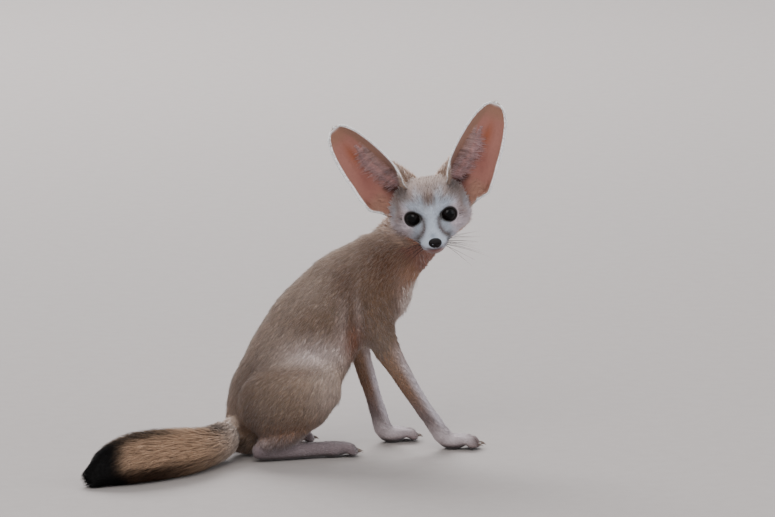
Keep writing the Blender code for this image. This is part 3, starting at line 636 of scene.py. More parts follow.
# Soft patches on the body: tone, middle, reach and strength, alike on both sides
bodyPatches = [
    ("rump", (-52, 30, 66), (24, 40, 34), 0.85),
    ("rump", (-56, 34, 92), (14, 30, 13), 0.6),
    ("shoulder", (4, 36, 138), (24, 30, 16), 0.5),
    ("shoulder", (72, 34, 152), (34, 30, 40), 0.95),
    # the neck is darker brown under the head: partly its own colour, partly painted shade
    ("neck", (98, 18, 190), (34, 40, 26), 0.95),
    ("neck", (82, 34, 202), (26, 22, 22), 0.9),
    ("neck", (40, 32, 176), (14, 26, 22), 0.7),
    ("chest", (112, 8, 176), (18, 26, 22), 0.85),
    ("breast", (102, 6, 148), (12, 30, 26), 0.95),
    ("thigh", (-12, 46, 68), (44, 16, 26), 0.9),
    # painted shade in the crease behind the thigh
    ("creaseShade", (-64, 38, 46), (6, 22, 26), 0.6),
    ("lowThigh", (-24, 46, 32), (46, 18, 15), 0.95),
    ("knee", (12, 44, 66), (24, 18, 26), 0.85),
    ("fold", (6, 38, 109), (36, 16, 15), 0.85),
    ("fold", (36, 34, 126), (6, 14, 30), 0.55),
    ("fold", (50, 34, 140), (3.5, 14, 26), 0.45),
    ("armpit", (46, 36, 120), (11, 14, 22), 0.95),
    # painted shade along the top of the thigh and in the folds behind the shoulder
    ("creaseShade", (-14, 46, 90), (34, 14, 4.5), 0.5),
    ("creaseShade", (43, 36, 148), (3.2, 12, 24), 0.5),
    ("creaseShade", (57, 36, 144), (3.0, 12, 26), 0.45),
]


def mixed(base, colour, amount):
    return base + (colour - base) * np.clip(amount, 0, 1)[:, None]


def bodyTones(spots, normals):
    even = spots * [1, 0, 1] + np.abs(spots) * [0, 1, 0]
    colour = np.tile(tones["flank"], (len(spots), 1))
    # the top of the back is paler where the surface faces up and back: painted rim light
    rimLitTop = normals @ unit(np.array([-0.45, 0, 0.89]))
    colour = mixed(colour, tones["back"], ramp(rimLitTop, -0.15, 0.75) * 0.85)
    for name, centre, reach, amount in bodyPatches:
        colour = mixed(colour, tones[name], patch(even, centre, reach) * amount)
    under = ramp(-normals[:, 2], 0.35, 0.9) * ramp(spots[:, 2], 40, 70)
    return mixed(colour, tones["belly"], under * 0.8)


def legTones(spots, normals, colour, part):
    height = spots[:, 2]
    fore = part["foreleg"] + part["forepaw"]
    leg = mixed(np.tile(tones["foreleg"], (len(spots), 1)), tones["legRear"], ramp(90 - height, 0, 30))
    # the fronts of the forelegs are paler: partly their own pale fur, partly painted rim light
    front = ramp(normals[:, 0] * 0.8 + normals[:, 2] * 0.3 - normals[:, 1] * 0.1, -0.1, 0.55)
    leg = mixed(leg, tones["hindfoot"], ramp(62 - height, 0, 30) * 0.8)
    leg = mixed(leg, tones["legWhite"], front * ramp(135 - height, 0, 75) * 0.92)
    leg = mixed(leg, tones["paw"], ramp(34 - height, 0, 18))
    # darker towards the floor: painted shade low on the forepaws
    leg = mixed(leg, tones["pawShade"], ramp(10 - height, 0, 7) * 0.6)
    colour = mixed(colour, leg, fore)
    colour = mixed(colour, tones["hindfoot"], part["hindfoot"])
    colour = mixed(colour, tones["hindfoot"], part["thigh"] * ramp(34 - height, 0, 14) * 0.75)
    points = fromBody(spots)
    gaps = np.zeros(len(points))
    toes = np.zeros(len(points))
    for near, along, aside, _, reach, paw in aboutPaws(points, 12):
        # the toes of the forepaws darker: painted shade
        toes[near] = ramp(along, reach - 20, reach - 6) * (0.75 if "fore" in paw else 0)
        gaps[near] += toeGaps(along, aside, reach) * ramp(along, reach - 17, reach - 8)
    colour = mixed(colour, tones["pawShade"], toes)
    # painted shade in the gaps between the toes
    colour = mixed(colour, tones["toeGapShade"], np.sqrt(gaps) * 0.95)
    under = ramp(-normals[:, 2], 0.1, 0.7) * ramp(7 - height, 0, 4)
    return mixed(colour, tones["pad"], under * (part["forepaw"] + part["hindfoot"]))


def segments(points, path):
    # for each piece of a path: its line, the points' share along it, and their way out from it
    for start, end in zip(path[:-1], path[1:]):
        start, end = np.array(start, float), np.array(end, float)
        line = end - start
        share = np.clip((points - start) @ line / line.dot(line), 0, 1)
        yield line, share, points - start - share[:, None] * line


def segmentDistance(points, path):
    return np.min([np.linalg.norm(out, axis=1) for _, _, out in segments(points, path)], axis=0)


# lines on each half of the face: the path, its width, tone and strength
faceLines = [
    ([(8.2, 13, -1.0), (7.4, 19, -4.5), (7.9, 22.5, -8.8), (11.4, 24.5, -14.2), (15.4, 18, -18.6)],
     2.5, "tear", 1.0),
    ([(0, 9, 13), (0, 6, 20), (0, 1, 27)], 1.6, "streak", 0.85),
    ([(4.2, 10, 8), (5.2, 7, 17), (6.5, 1, 25)], 1.3, "streak", 0.3),
]
# the white of the face runs up over the eyes and in streaks beside the middle: middle, reach, strength
foreheadPale = [
    ((17, 5, 11.5), (8, 12, 4.0), 1.0),
    ((7.5, 8, 14), (2.6, 12, 7), 0.9),
    ((12, 4, 21), (2.0, 12, 8), 0.4),
    ((35, -10, 8), (3.0, 12, 8), 0.6),
]
# darker places: tone, middle, reach, strength
faceShades = [
    ("cheek", (30.5, -5, 2), (2.6, 14, 10), 0.85),
    ("earShade", (29, -19, 26), (6, 13, 6), 0.85),
    ("noseShade", (0, 34, -14.6), (3.2, 7, 2.8), 0.75),
]
whiskerRows = [(f, -18.5 - 2.6 * row - 0.12 * f) for row in range(4) for f in (13, 17, 21, 25)]


def faceTones(spots, normals):
    even = np.abs(spots) * [1, 0, 0] + spots * [0, 1, 1]
    colour = np.tile(tones["faceWhite"], (len(spots), 1))
    height = even[:, 2] - even[:, 0] * 0.12
    colour = mixed(colour, tones["cheekPale"], ramp(even[:, 0], 14, 22))
    colour = mixed(colour, tones["forehead"], ramp(height, 7.5, 15) * 0.95)
    colour = mixed(colour, tones["crown"], ramp(even[:, 2], 24, 34) * 0.9)
    colour = mixed(colour, tones["cheek"], ramp(even[:, 0], 24, 31) * ramp(even[:, 2], 2, 10) * 0.9)
    colour = mixed(colour, tones["nape"], ramp(-even[:, 1] - even[:, 2] * 0.5, 13, 27) * 0.95)
    colour = mixed(colour, tones["throat"],
                   ramp(-even[:, 2] - even[:, 1] * 0.35, 20, 27) * ramp(-normals @ headWays[2], 0.1, 0.7))
    for centre, reach, amount in foreheadPale:
        colour = mixed(colour, tones["faceWhite"], patch(even, centre, reach) * amount)
    for name, centre, reach, amount in faceShades:
        colour = mixed(colour, tones[name], patch(even, centre, reach) * amount)
    # a line may lie somewhat under the surface or over it
    flat = np.array([1, 0.3, 1])
    for path, width, shade, amount in faceLines:
        away = segmentDistance(even * flat, np.array(path) * flat)
        colour = mixed(colour, tones[shade], bell(away, 0, width) * amount)
    for side in (-1, 1):
        local, part = fromLids(spots, side)
        near = (local[:, 1] > 0) * bell(np.maximum(part - 1.0, 0), 0, 0.15)
        colour = mixed(colour, tones["tear"] * 0.12, near)
    muzzle = ramp(even[:, 1], 8, 14) * ramp(-even[:, 2], 17, 20)
    for forward, up in whiskerRows:
        away = np.hypot(even[:, 1] - forward, even[:, 2] - up)
        colour = mixed(colour, tones["whiskerSpot"], bell(away, 0, 1.1) * muzzle * 0.85)
    below = ramp(-even[:, 2], 26.5, 29)
    colour = mixed(colour, tones["chin"], below * 0.85)
    lips = np.zeros(len(spots))
    near = (spots[:, 2] < -18) & (spots[:, 1] > 0)
    lips[near] = bell(nearestOn(mouthLine(), spots[near]), 0, 2.1)
    return mixed(colour, tones["lip"], lips * 0.95)


def brushPlace(spots):
    # place along the brush from 0 to 1, and the turn round it, 0 to the fox's right and up at a quarter
    places = np.linspace(0, len(brush) - 1.001, 160)
    centre, _, across, up, depth, width = brushFrame(places)
    index = np.array([np.argmin(np.linalg.norm(centre - spot, axis=1)) for spot in spots], int)
    out = spots - centre[index]
    aside = np.sum(out * across[index], axis=1) / width[index, 0]
    above = np.sum(out * up[index], axis=1) / depth[index, 0]
    return places[index] / (len(brush) - 1), np.arctan2(above, aside)


def tailTones(along, turns):
    above = np.sin(turns)
    colour = np.tile(tones["tailRoot"], (len(along), 1))
    colour = mixed(colour, tones["tailBuff"], ramp(along, 0.1, 0.3))
    # darker underneath: partly dark-tipped hair, partly painted shade under the tail
    colour = mixed(colour, tones["tailUnderTipsAndShade"], ramp(-above, -0.1, 0.5) * ramp(along, 0.1, 0.55) * 0.95)
    # the black of the tip runs further back above and below
    colour = mixed(colour, tones["tailDark"], ramp(along + 0.13 * above**2, 0.78, 0.9))
    ridge = bell(above, 1, 0.13) * ramp(along, 0.3, 0.5)
    colour = mixed(colour, tones["tailDark"], ridge * 0.7)
    gland = bell(along, 0.2, 0.035) * bell(above, 1, 0.22)
    return mixed(colour, tones["tailDark"], gland)


def shares(tris, labels):
    # how much each point belongs to each kind of part, with soft borders
    whole = np.stack([labels == index for index in range(len(kinds))], 1).astype(float)
    whole = spread(whole, tris, 8)
    return {kind: whole[:, index] for index, kind in enumerate(kinds)}


def coatTones(points, normals, part):
    # the one set of markings that skin and coat share
    spots = toBody(points)
    colour = legTones(spots, normals, bodyTones(spots, normals), part)
    onHead = part["head"] + part["nose"] + part["eye"]
    some = onHead > 0.01
    faces = faceTones(toHead(points[some]), normals[some])
    colour[some] = mixed(colour[some], faces, onHead[some])
    some = part["tail"] > 0.01
    along, turns = brushPlace(spots[some])
    colour[some] = mixed(colour[some], tailTones(along, turns), part["tail"][some])
    return colour


skinPart = shares(skinTris, skinKinds)
skinTones = coatTones(skinVerts, skinNormals, skinPart)
print("markings are in")


# Finishes
def newFinish(name, roughness, specular=0.35):
    finish = bpy.data.materials.new(name)
    finish.use_nodes = True
    shader = finish.node_tree.nodes["Principled BSDF"]
    shader.inputs["Roughness"].default_value = roughness
    shader.inputs["Specular IOR Level"].default_value = specular
    return finish, finish.node_tree.nodes, finish.node_tree.links, shader


def tintedFinish(name, roughness, specular=0.35):
    # a finish with one tone to each point
    finish, nodes, links, shader = newFinish(name, roughness, specular)
    tint = nodes.new("ShaderNodeAttribute")
    tint.attribute_name = "coat"
    links.new(tint.outputs["Color"], shader.inputs["Base Color"])
    return finish


def coatFinish(name, roughness, speckle, noiseScale, bump, sheen=0.25, specular=0.22):
    # the coat's tones, broken up by fine noise, with bump along the surface
    finish, nodes, links, shader = newFinish(name, roughness, specular)
    tint = nodes.new("ShaderNodeAttribute")
    tint.attribute_name = "coat"
    noise = nodes.new("ShaderNodeTexNoise")
    noise.inputs["Scale"].default_value = noiseScale
    noise.inputs["Detail"].default_value = 3.0
    level = nodes.new("ShaderNodeMapRange")
    level.inputs["To Min"].default_value = 1 - speckle
    level.inputs["To Max"].default_value = 1 + speckle
    mix = nodes.new("ShaderNodeVectorMath")
    mix.operation = "SCALE"
    place = nodes.new("ShaderNodeTexCoord")
    links.new(place.outputs["Object"], noise.inputs["Vector"])
    links.new(noise.outputs["Fac"], level.inputs["Value"])
    links.new(tint.outputs["Color"], mix.inputs[0])
    links.new(level.outputs["Result"], mix.inputs["Scale"])
    links.new(mix.outputs["Vector"], shader.inputs["Base Color"])
    if bump:
        relief = nodes.new("ShaderNodeBump")
        relief.inputs["Distance"].default_value = bump * mm
        relief.inputs["Strength"].default_value = 0.8
        links.new(noise.outputs["Fac"], relief.inputs["Height"])
        links.new(relief.outputs["Normal"], shader.inputs["Normal"])
    shader.inputs["Sheen Weight"].default_value = sheen
    shader.inputs["Sheen Roughness"].default_value = 0.5
    return finish


skinFinish = coatFinish("short coat on skin", 0.8, 0.25, 900, 0.5)
furFinish = coatFinish("fur", 0.75, 0.18, 500, 0)
brushFinish = coatFinish("brush fur", 0.85, 0.18, 500, 0, sheen=0.08, specular=0.1)
earFinish = coatFinish("ear skin", 0.6, 0.12, 350, 0.25)


# Ears: thin cups, worked out as a sheet with a skin on each side
earLook = {
    "base": (27, -40, 15),
    "length": 98.5,
    "splay": {1: 31.0, -1: 34.5},
    "twist": 14.0,
    "lean": 5.0,
    "thickness": 1.5,
    "rows": 72,
    "columns": 34,
    "sections": [
        (-0.22, 9.0, 160), (-0.08, 13.5, 142), (0.05, 18.0, 118), (0.16, 21.5, 98),
        (0.28, 25.0, 80), (0.42, 27.0, 65), (0.57, 27.5, 57), (0.72, 26.5, 50),
        (0.85, 24.0, 43), (0.94, 20.0, 35), (0.985, 15.5, 25), (1.00, 13.0, 8),
    ],
    # the small pocket low on the outer edge, and the folds in front of the canal: height, then
    # middle and breadth up the ear and across it
    "folds": [
        (3.0, (0.20, 0.09), (0.97, 0.10)),
        (2.2, (0.20, 0.10), (0.72, 0.10)),
        (3.0, (0.02, 0.12), (-0.62, 0.16)),
    ],
    "flare": (2.2, (0.15, 0.06), (0.97, 0.10)),
    # shallow ribs up the inside
    "ribs": (-0.25, 0.1, 0.42),
    "ribHeight": 0.5,
    "ribWidth": 0.07,
}


def foldAt(share, turnShare, fold):
    height, up, across = fold
    return height * bell(share, *up) * bell(turnShare, *across)


def earSheet(side, share, turnShare):
    # share runs up the ear and turnShare from -1 at the inner edge to 1 at the outer
    starts = [section[0] for section in earLook["sections"]]
    place = np.interp(share, starts, np.arange(len(starts)))
    radius = smoothAt([section[1] for section in earLook["sections"]], place)[:, 0]
    angle = np.radians(np.maximum(smoothAt([s[2] for s in earLook["sections"]], place)[:, 0], 3))
    # low down the inner edge turns in under the fur of the forehead
    tuck = 1 - 0.5 * ramp(0.16 - share, 0, 0.22) * ramp(-turnShare, 0, 0.6)
    turn = side * turnShare * angle * tuck
    forward = radius * (1 - np.cos(turn)) + earLook["lean"] * share**2
    aside = radius * np.sin(turn)
    for fold in earLook["folds"]:
        forward += foldAt(share, turnShare, fold)
    aside += side * foldAt(share, turnShare, earLook["flare"])
    for rib in earLook["ribs"]:
        height = earLook["ribHeight"] * bell(turnShare, rib, earLook["ribWidth"])
        forward += height * ramp(share, 0.1, 0.3) * ramp(0.9 - share, 0, 0.3)
    spots = np.stack([aside, forward, share * earLook["length"]], 1)
    for axis, degrees in (("Z", -side * earLook["twist"]), ("Y", side * earLook["splay"][side])):
        spots = spots @ np.array(Matrix.Rotation(math.radians(degrees), 3, axis)).T
    return fromHead(spots + np.array(earLook["base"]) * [side, 1, 1])


def earPlaces(side, share, turnShare):
    # places on the sheet, and the ways into the cup, up the ear and across it
    step = 0.004
    spots = earSheet(side, share, turnShare)
    high = np.minimum(share + step, 1)
    alongUp = unit(earSheet(side, high, turnShare) - earSheet(side, high - 2 * step, turnShare))
    across = unit(earSheet(side, share, turnShare + step) - earSheet(side, share, turnShare - step))
    # the cup faces forward on both sides of the head
    inward = unit(np.cross(alongUp, across))
    if np.mean(inward @ headWays[1]) < 0:
        inward = -inward
    return spots, inward, alongUp, across


earTones = {name: tone(*values, coatLight) for name, values in {
    "pink": (138, 92, 82),
    "orange": (126, 70, 48),
    "dark": (44, 20, 17),
    "edge": (124, 90, 74),
    "low": (154, 114, 98),
    # near white: partly the pale fringe of the ears, partly painted rim light
    "rim": (252, 248, 250),
    "rear": (126, 101, 82),
    "hair": (200, 168, 172),
    "deep": (92, 60, 46),
    "redShade": (104, 52, 46),
}.items()}
earCanal = ((0.04, -0.2), (0.20, 0.08))


def canalShare(share, turnShare):
    # 1 along the slit of the ear canal, low inside the cup; the scale makes millimetres of shares
    scale = np.array([earLook["length"], 26.0])
    away = segmentDistance(np.stack([share, turnShare], 1) * scale, np.array(earCanal) * scale)
    return bell(away, 0, 3.0)


def earInsideTones(share, turnShare):
    place = np.stack([share, turnShare], 1)
    colour = np.tile(earTones["pink"], (len(share), 1))
    colour = mixed(colour, earTones["orange"], patch(place, (0.66, 0.22), (0.14, 0.2)) * 0.95)
    colour = mixed(colour, earTones["redShade"], patch(place, (0.4, 0.4), (0.13, 0.22)) * 0.45)
    # brown inside the inner edge, darker low down towards the canal, where the darkness is painted shade
    # behind the inner edge
    band = mixed(np.tile(earTones["deep"], (len(share), 1)), earTones["edge"], ramp(share, 0.2, 0.6))
    colour = mixed(colour, band, ramp(-turnShare, 0.3, 0.5) * 0.95)
    colour = mixed(colour, earTones["edge"], ramp(turnShare, 0.78, 0.95) * 0.5)
    colour = mixed(colour, earTones["edge"], ramp(share, 0.8, 0.93) * 0.85)
    colour = mixed(colour, earTones["low"], ramp(0.25 - share, 0.0, 0.12) * ramp(turnShare, 0.1, 0.45))
    shade = patch(place, (0.09, -0.2), (0.09, 0.4))
    colour = mixed(colour, earTones["dark"] * 2.2, shade * 0.95)
    # the opening of the canal as a dark slit: painted shade
    colour = mixed(colour, earTones["dark"], canalShare(share, turnShare))
    # a darker copy of the orange in the small pocket: painted shade
    pocket = patch(place, (0.2, 0.84), (0.06, 0.07))
    colour = mixed(colour, earTones["orange"] * 0.6, pocket * 0.7)
    # the shell's edge near white: partly its pale fringe, partly painted rim light
    rim = np.maximum(ramp(np.abs(turnShare), 0.925, 0.955), ramp(share, 0.978, 1.0))
    return mixed(colour, earTones["rim"], rim * ramp(share, -0.02, 0.08))


def earShell(side):
    rows, columns = earLook["rows"], earLook["columns"]
    # the columns stand closer together towards both edges
    turn = math.pi / 2 * 0.98
    across = np.sin(np.linspace(-turn, turn, columns)) / math.sin(turn)
    share, turnShare = [values.reshape(-1) for values in np.meshgrid(np.linspace(-0.2, 1.0, rows), across,
                                                                     indexing="ij")]
    spots, inward, _, _ = earPlaces(side, share, turnShare)
    # the sheet thins to its edge
    edge = np.minimum(1 - np.abs(turnShare), (1 - share) * 1.6)
    half = earLook["thickness"] / 2 * (0.35 + 0.65 * ramp(edge, 0, 0.12)) * mm
    inner = spots + inward * half[:, None]
    outer = spots - inward * half[:, None]
    index = np.arange(rows * columns).reshape(rows, columns)
    quads = np.stack([index[:-1, :-1], index[:-1, 1:], index[1:, 1:], index[1:, :-1]], -1).reshape(-1, 4)
    border = np.concatenate([index[0, :-1], index[:-1, -1], index[-1, :0:-1], index[:0:-1, 0]])
    after = np.roll(border, -1)
    total = rows * columns
    rim = np.stack([border, border + total, after + total, after], 1)
    # the inner side has to face into the cup
    start, next1, _, next2 = inner[quads[0]]
    if np.dot(np.cross(next1 - start, next2 - start), inward[quads[0, 0]]) < 0:
        quads = quads[:, ::-1]
        rim = rim[:, ::-1]
    faces = np.concatenate([quads, quads[:, ::-1] + total, rim[:, ::-1]])
    tris = np.concatenate([faces[:, [0, 1, 2]], faces[:, [0, 2, 3]]])
    colours = np.concatenate([earInsideTones(share, turnShare), np.tile(earTones["rear"], (total, 1))])
    # low on the inner edge the ear wears the fur of the forehead
    foot = ramp(0.22 - share, 0, 0.1) * ramp(-turnShare, 0.8, 0.92)
    return np.concatenate([inner, outer]), tris, mixed(colours, tones["crown"], np.tile(foot, 2))


def makeSkin():
    # the skin takes the coat's tones darkened: painted shade deep in the coat
    verts, tris, colours, count = [skinVerts], [skinTris], [skinTones * 0.8], len(skinVerts)
    slots = [np.zeros(len(skinTris), int)]
    for side in (1, -1):
        spots, faces, shades = earShell(side)
        verts.append(spots)
        tris.append(faces + count)
        colours.append(shades)
        slots.append(np.ones(len(faces), int))
        count += len(spots)
    skin = meshFrom("skin", np.concatenate(verts), np.concatenate(tris), np.concatenate(colours))
    skin.data.materials.append(skinFinish)
    skin.data.materials.append(earFinish)
    skin.data.polygons.foreach_set("material_index", np.concatenate(slots).astype(np.int32))
    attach(skin, "root")
    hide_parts("head", "neck", "torso", "tail", "ear_left", "ear_right",
                "foreleg_left", "foreleg_right", "forepaw_left", "forepaw_right",
                "thigh_left", "thigh_right", "hindfoot_left", "hindfoot_right")


makeSkin()
print("skin with ears is in")


# Coat: each tuft is a closed, flat-bellied sliver that tapers to its tip
def tuftTris(rings):
    # the faces of one tuft: a closed foot, rings of three corners and the tip
    tris = [(0, 2, 1)]
    for low in range(0, rings * 3 - 3, 3):
        for corner in range(3):
            a, b = low + corner, low + (corner + 1) % 3
            tris += [(a, b, b + 3), (a, b + 3, a + 3)]
    low = (rings - 1) * 3
    tris += [(low + corner, low + (corner + 1) % 3, low + 3) for corner in range(3)]
    return np.array(tris)


def tuftUnwrap(rings):
    # a small patch of the unwrap, with the tip in the middle
    turn = np.radians([90, 210, 330])
    small = []
    for ring in range(rings):
        reach = 0.0015 * (1 - 0.7 * ring / rings)
        small += list(np.stack([np.cos(turn + ring * 0.5), np.sin(turn + ring * 0.5)], 1) * reach)
    return np.array(small + [(0.0, 0.0)])


def growTufts(name, roots, normals, lies, look, uvs, draw, finish=None):
    # look has the number of rings, and for every tuft its length, width, tones at the root and at
    # the tip, and either its lift in radians and its curl or, as its spine, a place for each ring
    rings = look["rings"]
    count = len(roots)
    sides = unit(np.cross(normals, lies))
    length = look["length"][:, None] * mm
    width = look["width"][:, None] * mm
    points, shades = [], []
    if "lift" in look:
        lift = look["lift"][:, None]
        way = lies * np.cos(lift) + normals * np.sin(lift)
        sway = draw.normal(0, 0.1, count)[:, None]
    for step, t in enumerate(list(np.arange(rings) / rings) + [1.0]):
        if "spine" in look:
            centre = look["spine"][step]
        else:
            centre = (roots - normals * 0.3 * mm + way * length * t
                      - normals * (look["curl"][:, None] * length * t * t)
                      + sides * (sway * length * t * t))
        shade = look["rootTone"] + (look["tipTone"] - look["rootTone"]) * ramp(np.array(t), 0.15, 0.95)
        if t == 1.0:
            points.append(centre)
            shades.append(shade)
            continue
        half = width / 2 * (1.0 - 0.55 * t ** 1.5) * (0.75 if t == 0 else 1)
        points += [centre - sides * half, centre + sides * half, centre + normals * half * 0.8]
        shades += [shade] * 3
    verts = np.stack(points, 1).reshape(-1, 3)
    verts[:, 2] = np.maximum(verts[:, 2], tuftFloor)
    colours = np.stack(shades, 1).reshape(-1, 3)
    tris = tuftTris(rings)
    faces = (np.arange(count)[:, None, None] * (3 * rings + 1) + tris[None]).reshape(-1, 3)
    corners = (uvs[:, None, None] + tuftUnwrap(rings)[tris][None]).reshape(-1, 2)
    piece = meshFrom(name, verts, faces, np.clip(colours, 0, 1), corners)
    piece.data.materials.append(finish or furFinish)
    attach(piece, "root")
    print(name, count, "tufts,", len(faces), "triangles")


# The lie of the coat, as lines that the hair follows, in the body's millimetres
flowLines = {
    "trunk": [(150, 0, 235), (105, 0, 200), (73, 0, 170), (34, 0, 141), (-1, 0, 112),
              (-24, 0, 78), (-45, 0, 41), (-62, -3, 25)],
    "forelegRight": [(70, -30, 140), (81, -28, 106), (108.5, -28, 61), (141, -28, 14)],
    "forelegLeft": [(62, 28, 130), (72, 27, 92), (90, 27, 35), (96, 27, 14)],
    "thighRight": [(5, -52, 96), (-22, -50, 60), (-45, -44, 24)],
    "thighLeft": [(-4, 52, 96), (-31, 50, 60), (-54, 44, 24)],
    "hindfootRight": [(-58, -40, 12), (0, -36, 10), (50, -32, 4)],
    "hindfootLeft": [(-68, 40, 12), (-15, 44, 10), (32, 53, 4)],
    "forepawRight": [(141, -28, 16), (182, -38, 3)],
    "forepawLeft": [(96, 27, 16), (136, 34, 3)],
    "tail": [station[0] for station in brush],
}


def coatLie(points, normals, part):
    spots = toBody(points)
    total = np.zeros_like(spots)
    for path in flowLines.values():
        for line, _, out in segments(spots, path):
            away = np.sum(out ** 2, axis=1)
            total += unit(line)[None] / (away + 30)[:, None] ** 2
    body = unit(total)
    # on the head the coat runs back from the nose
    local = toHead(points)
    fromNose = unit(local - np.array([0, 40, -17])) @ headWays
    onHead = part["head"][:, None]
    way = body * (1 - onHead) + fromNose * onHead
    return alongSurface(way, normals)


skinLie = coatLie(skinVerts, skinNormals, skinPart)
skinLie = alongSurface(unit(spread(skinLie, skinTris, 6)), skinNormals)


# Where each part of the skin lies on its unwrap: round the part, then along it
unwrapTiles = {
    "torso": ("trunk", (0.01, 0.01, 0.42, 0.42)),
    "neck": ("trunk", (0.45, 0.01, 0.2, 0.42)),
    "head": ("head", (0.01, 0.45, 0.42, 0.3)),
    "forelegRight": ("forelegRight", (0.67, 0.01, 0.14, 0.28)),
    "forelegLeft": ("forelegLeft", (0.83, 0.01, 0.14, 0.28)),
    "thighRight": ("thighRight", (0.45, 0.45, 0.22, 0.2)),
    "thighLeft": ("thighLeft", (0.69, 0.45, 0.22, 0.2)),
    "hindfootRight": ("hindfootRight", (0.67, 0.31, 0.14, 0.12)),
    "hindfootLeft": ("hindfootLeft", (0.83, 0.31, 0.14, 0.12)),
    "forepawRight": ("forepawRight", (0.45, 0.67, 0.12, 0.1)),
    "forepawLeft": ("forepawLeft", (0.59, 0.67, 0.12, 0.1)),
    "tail": ("tail", (0.01, 0.77, 0.42, 0.22)),
    "earInRight": (None, (0.45, 0.79, 0.12, 0.19)),
    "earInLeft": (None, (0.59, 0.79, 0.12, 0.19)),
    "earOutRight": (None, (0.73, 0.67, 0.12, 0.31)),
    "earOutLeft": (None, (0.87, 0.67, 0.12, 0.31)),
}


def unwrapAlong(spots, tile):
    route, (left, low, wide, tall) = unwrapTiles[tile]
    if route == "head":
        local = toHead(fromBody(spots)) - np.array([0, -16, 0])
        u = np.arctan2(local[:, 0], local[:, 1]) / (2 * math.pi) + 0.5
        v = np.arctan2(local[:, 2], np.hypot(local[:, 0], local[:, 1])) / math.pi + 0.5
        return np.stack([left + wide * u, low + tall * v], 1)
    path = np.array(flowLines[route], float)
    total = np.linalg.norm(np.diff(path, axis=0), axis=1).sum()
    best = np.full(len(spots), np.inf)
    u = np.zeros(len(spots))
    v = np.zeros(len(spots))
    before = 0.0
    for line, share, out in segments(spots, path):
        length = np.linalg.norm(line)
        away = np.linalg.norm(out, axis=1)
        way = line / length
        across = unit(np.cross(way, [0.0, 0.0, 1.0]))
        up = np.cross(across, way)
        closer = away < best
        best[closer] = away[closer]
        u[closer] = (np.arctan2(out @ up, out @ across) / (2 * math.pi) + 0.5)[closer]
        v[closer] = ((before + share * length) / total)[closer]
        before += length
    return np.stack([left + wide * u, low + tall * v], 1)


def skinUnwrap(points, labels):
    spots = toBody(points)
    right = spots[:, 1] < 0
    where = np.zeros((len(points), 2))
    for index, kind in enumerate(kinds):
        some = labels == index
        if kind in ("foreleg", "forepaw", "thigh", "hindfoot"):
            tiles = {kind + "Right": some & right, kind + "Left": some & ~right}
        else:
            tiles = {"head" if kind in ("nose", "eye") else kind: some}
        for tile, chosen in tiles.items():
            if chosen.any():
                where[chosen] = unwrapAlong(spots[chosen], tile)
    return where


# Each kind of part: tufts to a square millimetre, length, width, lift in degrees, curl, rings, and
# the breadth of its locks, how far their tones differ and how far a marking strays along the hair
coatColumns = ("density", "length", "width", "lift", "curl", "rings", "lock", "toneStray", "placeStray")
coatLook = {kind: dict(zip(coatColumns, values)) for kind, values in {
    "face": (3.0, 4.2, 0.50, 15, 0.04, 1, 1.5, 0.13, 2.2),
    "nape": (0.95, 8.5, 0.75, 15, 0.14, 2, 2.6, 0.16, 4.0),
    "neck": (1.7, 9.5, 0.65, 13, 0.04, 1, 2.4, 0.18, 5.0),
    "torso": (1.6, 9.5, 0.65, 12, 0.04, 1, 2.3, 0.18, 6.0),
    "thigh": (1.6, 9.0, 0.65, 12, 0.04, 1, 2.3, 0.18, 6.0),
    "foreleg": (1.5, 5.5, 0.60, 12, 0.04, 1, 1.8, 0.14, 4.0),
    "forepaw": (1.9, 3.2, 0.50, 15, 0.04, 1, 1.4, 0.14, 1.0),
    "hindfoot": (1.3, 3.8, 0.55, 15, 0.04, 1, 1.5, 0.14, 1.5),
}.items()}
# How far the head's fur grows longer at the cheeks, round the ears' feet and on the crown, and how
# much the crown's strands differ in tone
headFur = {
    "face": {"cheek": 1.3, "earFoot": 0.9, "crown": 0.6, "strands": 1},
    "nape": {"cheek": 0.0, "earFoot": 0.2, "crown": 0.0, "strands": 0.4},
}
# Strands of the long fur that end dark or pale
darkTips = {"nape": 0.07, "neck": 0.14, "torso": 0.14, "thigh": 0.14}
paleTips = 0.16
faceFrom = -17
thin = 1.0


def scatter(weights, draw):
    # seeded roots over the skin: the triangle of each, and its share of that triangle's corners
    corners = skinVerts[skinTris]
    area = np.linalg.norm(np.cross(corners[:, 1] - corners[:, 0], corners[:, 2] - corners[:, 0]), axis=1)
    total = np.cumsum(area / 2 / mm**2 * weights[skinTris].mean(1))
    count = int(total[-1])
    chosen = np.searchsorted(total, (np.arange(count) + draw.random(count)) / count * total[-1])
    chosen = np.minimum(chosen, len(skinTris) - 1)
    a, b = draw.random(count), draw.random(count)
    over = a + b > 1
    a[over], b[over] = 1 - a[over], 1 - b[over]
    return chosen, np.stack([1 - a - b, a, b], 1)


def onSkin(values, chosen, share):
    some = values[skinTris[chosen]]
    if some.ndim == 2:
        return np.sum(some * share, axis=1)
    return np.sum(some * share[:, :, None], axis=1)


def lockTogether(roots, lies, lengths, gap, pull, draw):
    # tufts lean to a shared tip, and each such lock has its own tone and stand
    count = len(roots)
    locks = draw.permutation(count)[:max(1, int(count / gap))]
    tree = treeOf(roots[locks])
    chosen = np.array([tree.find(spot)[1] for spot in roots])
    lean = (roots[locks][chosen] - roots) * pull + lies * lengths[:, None] * mm
    return unit(lean), draw.uniform(-1, 1, len(locks))[chosen]


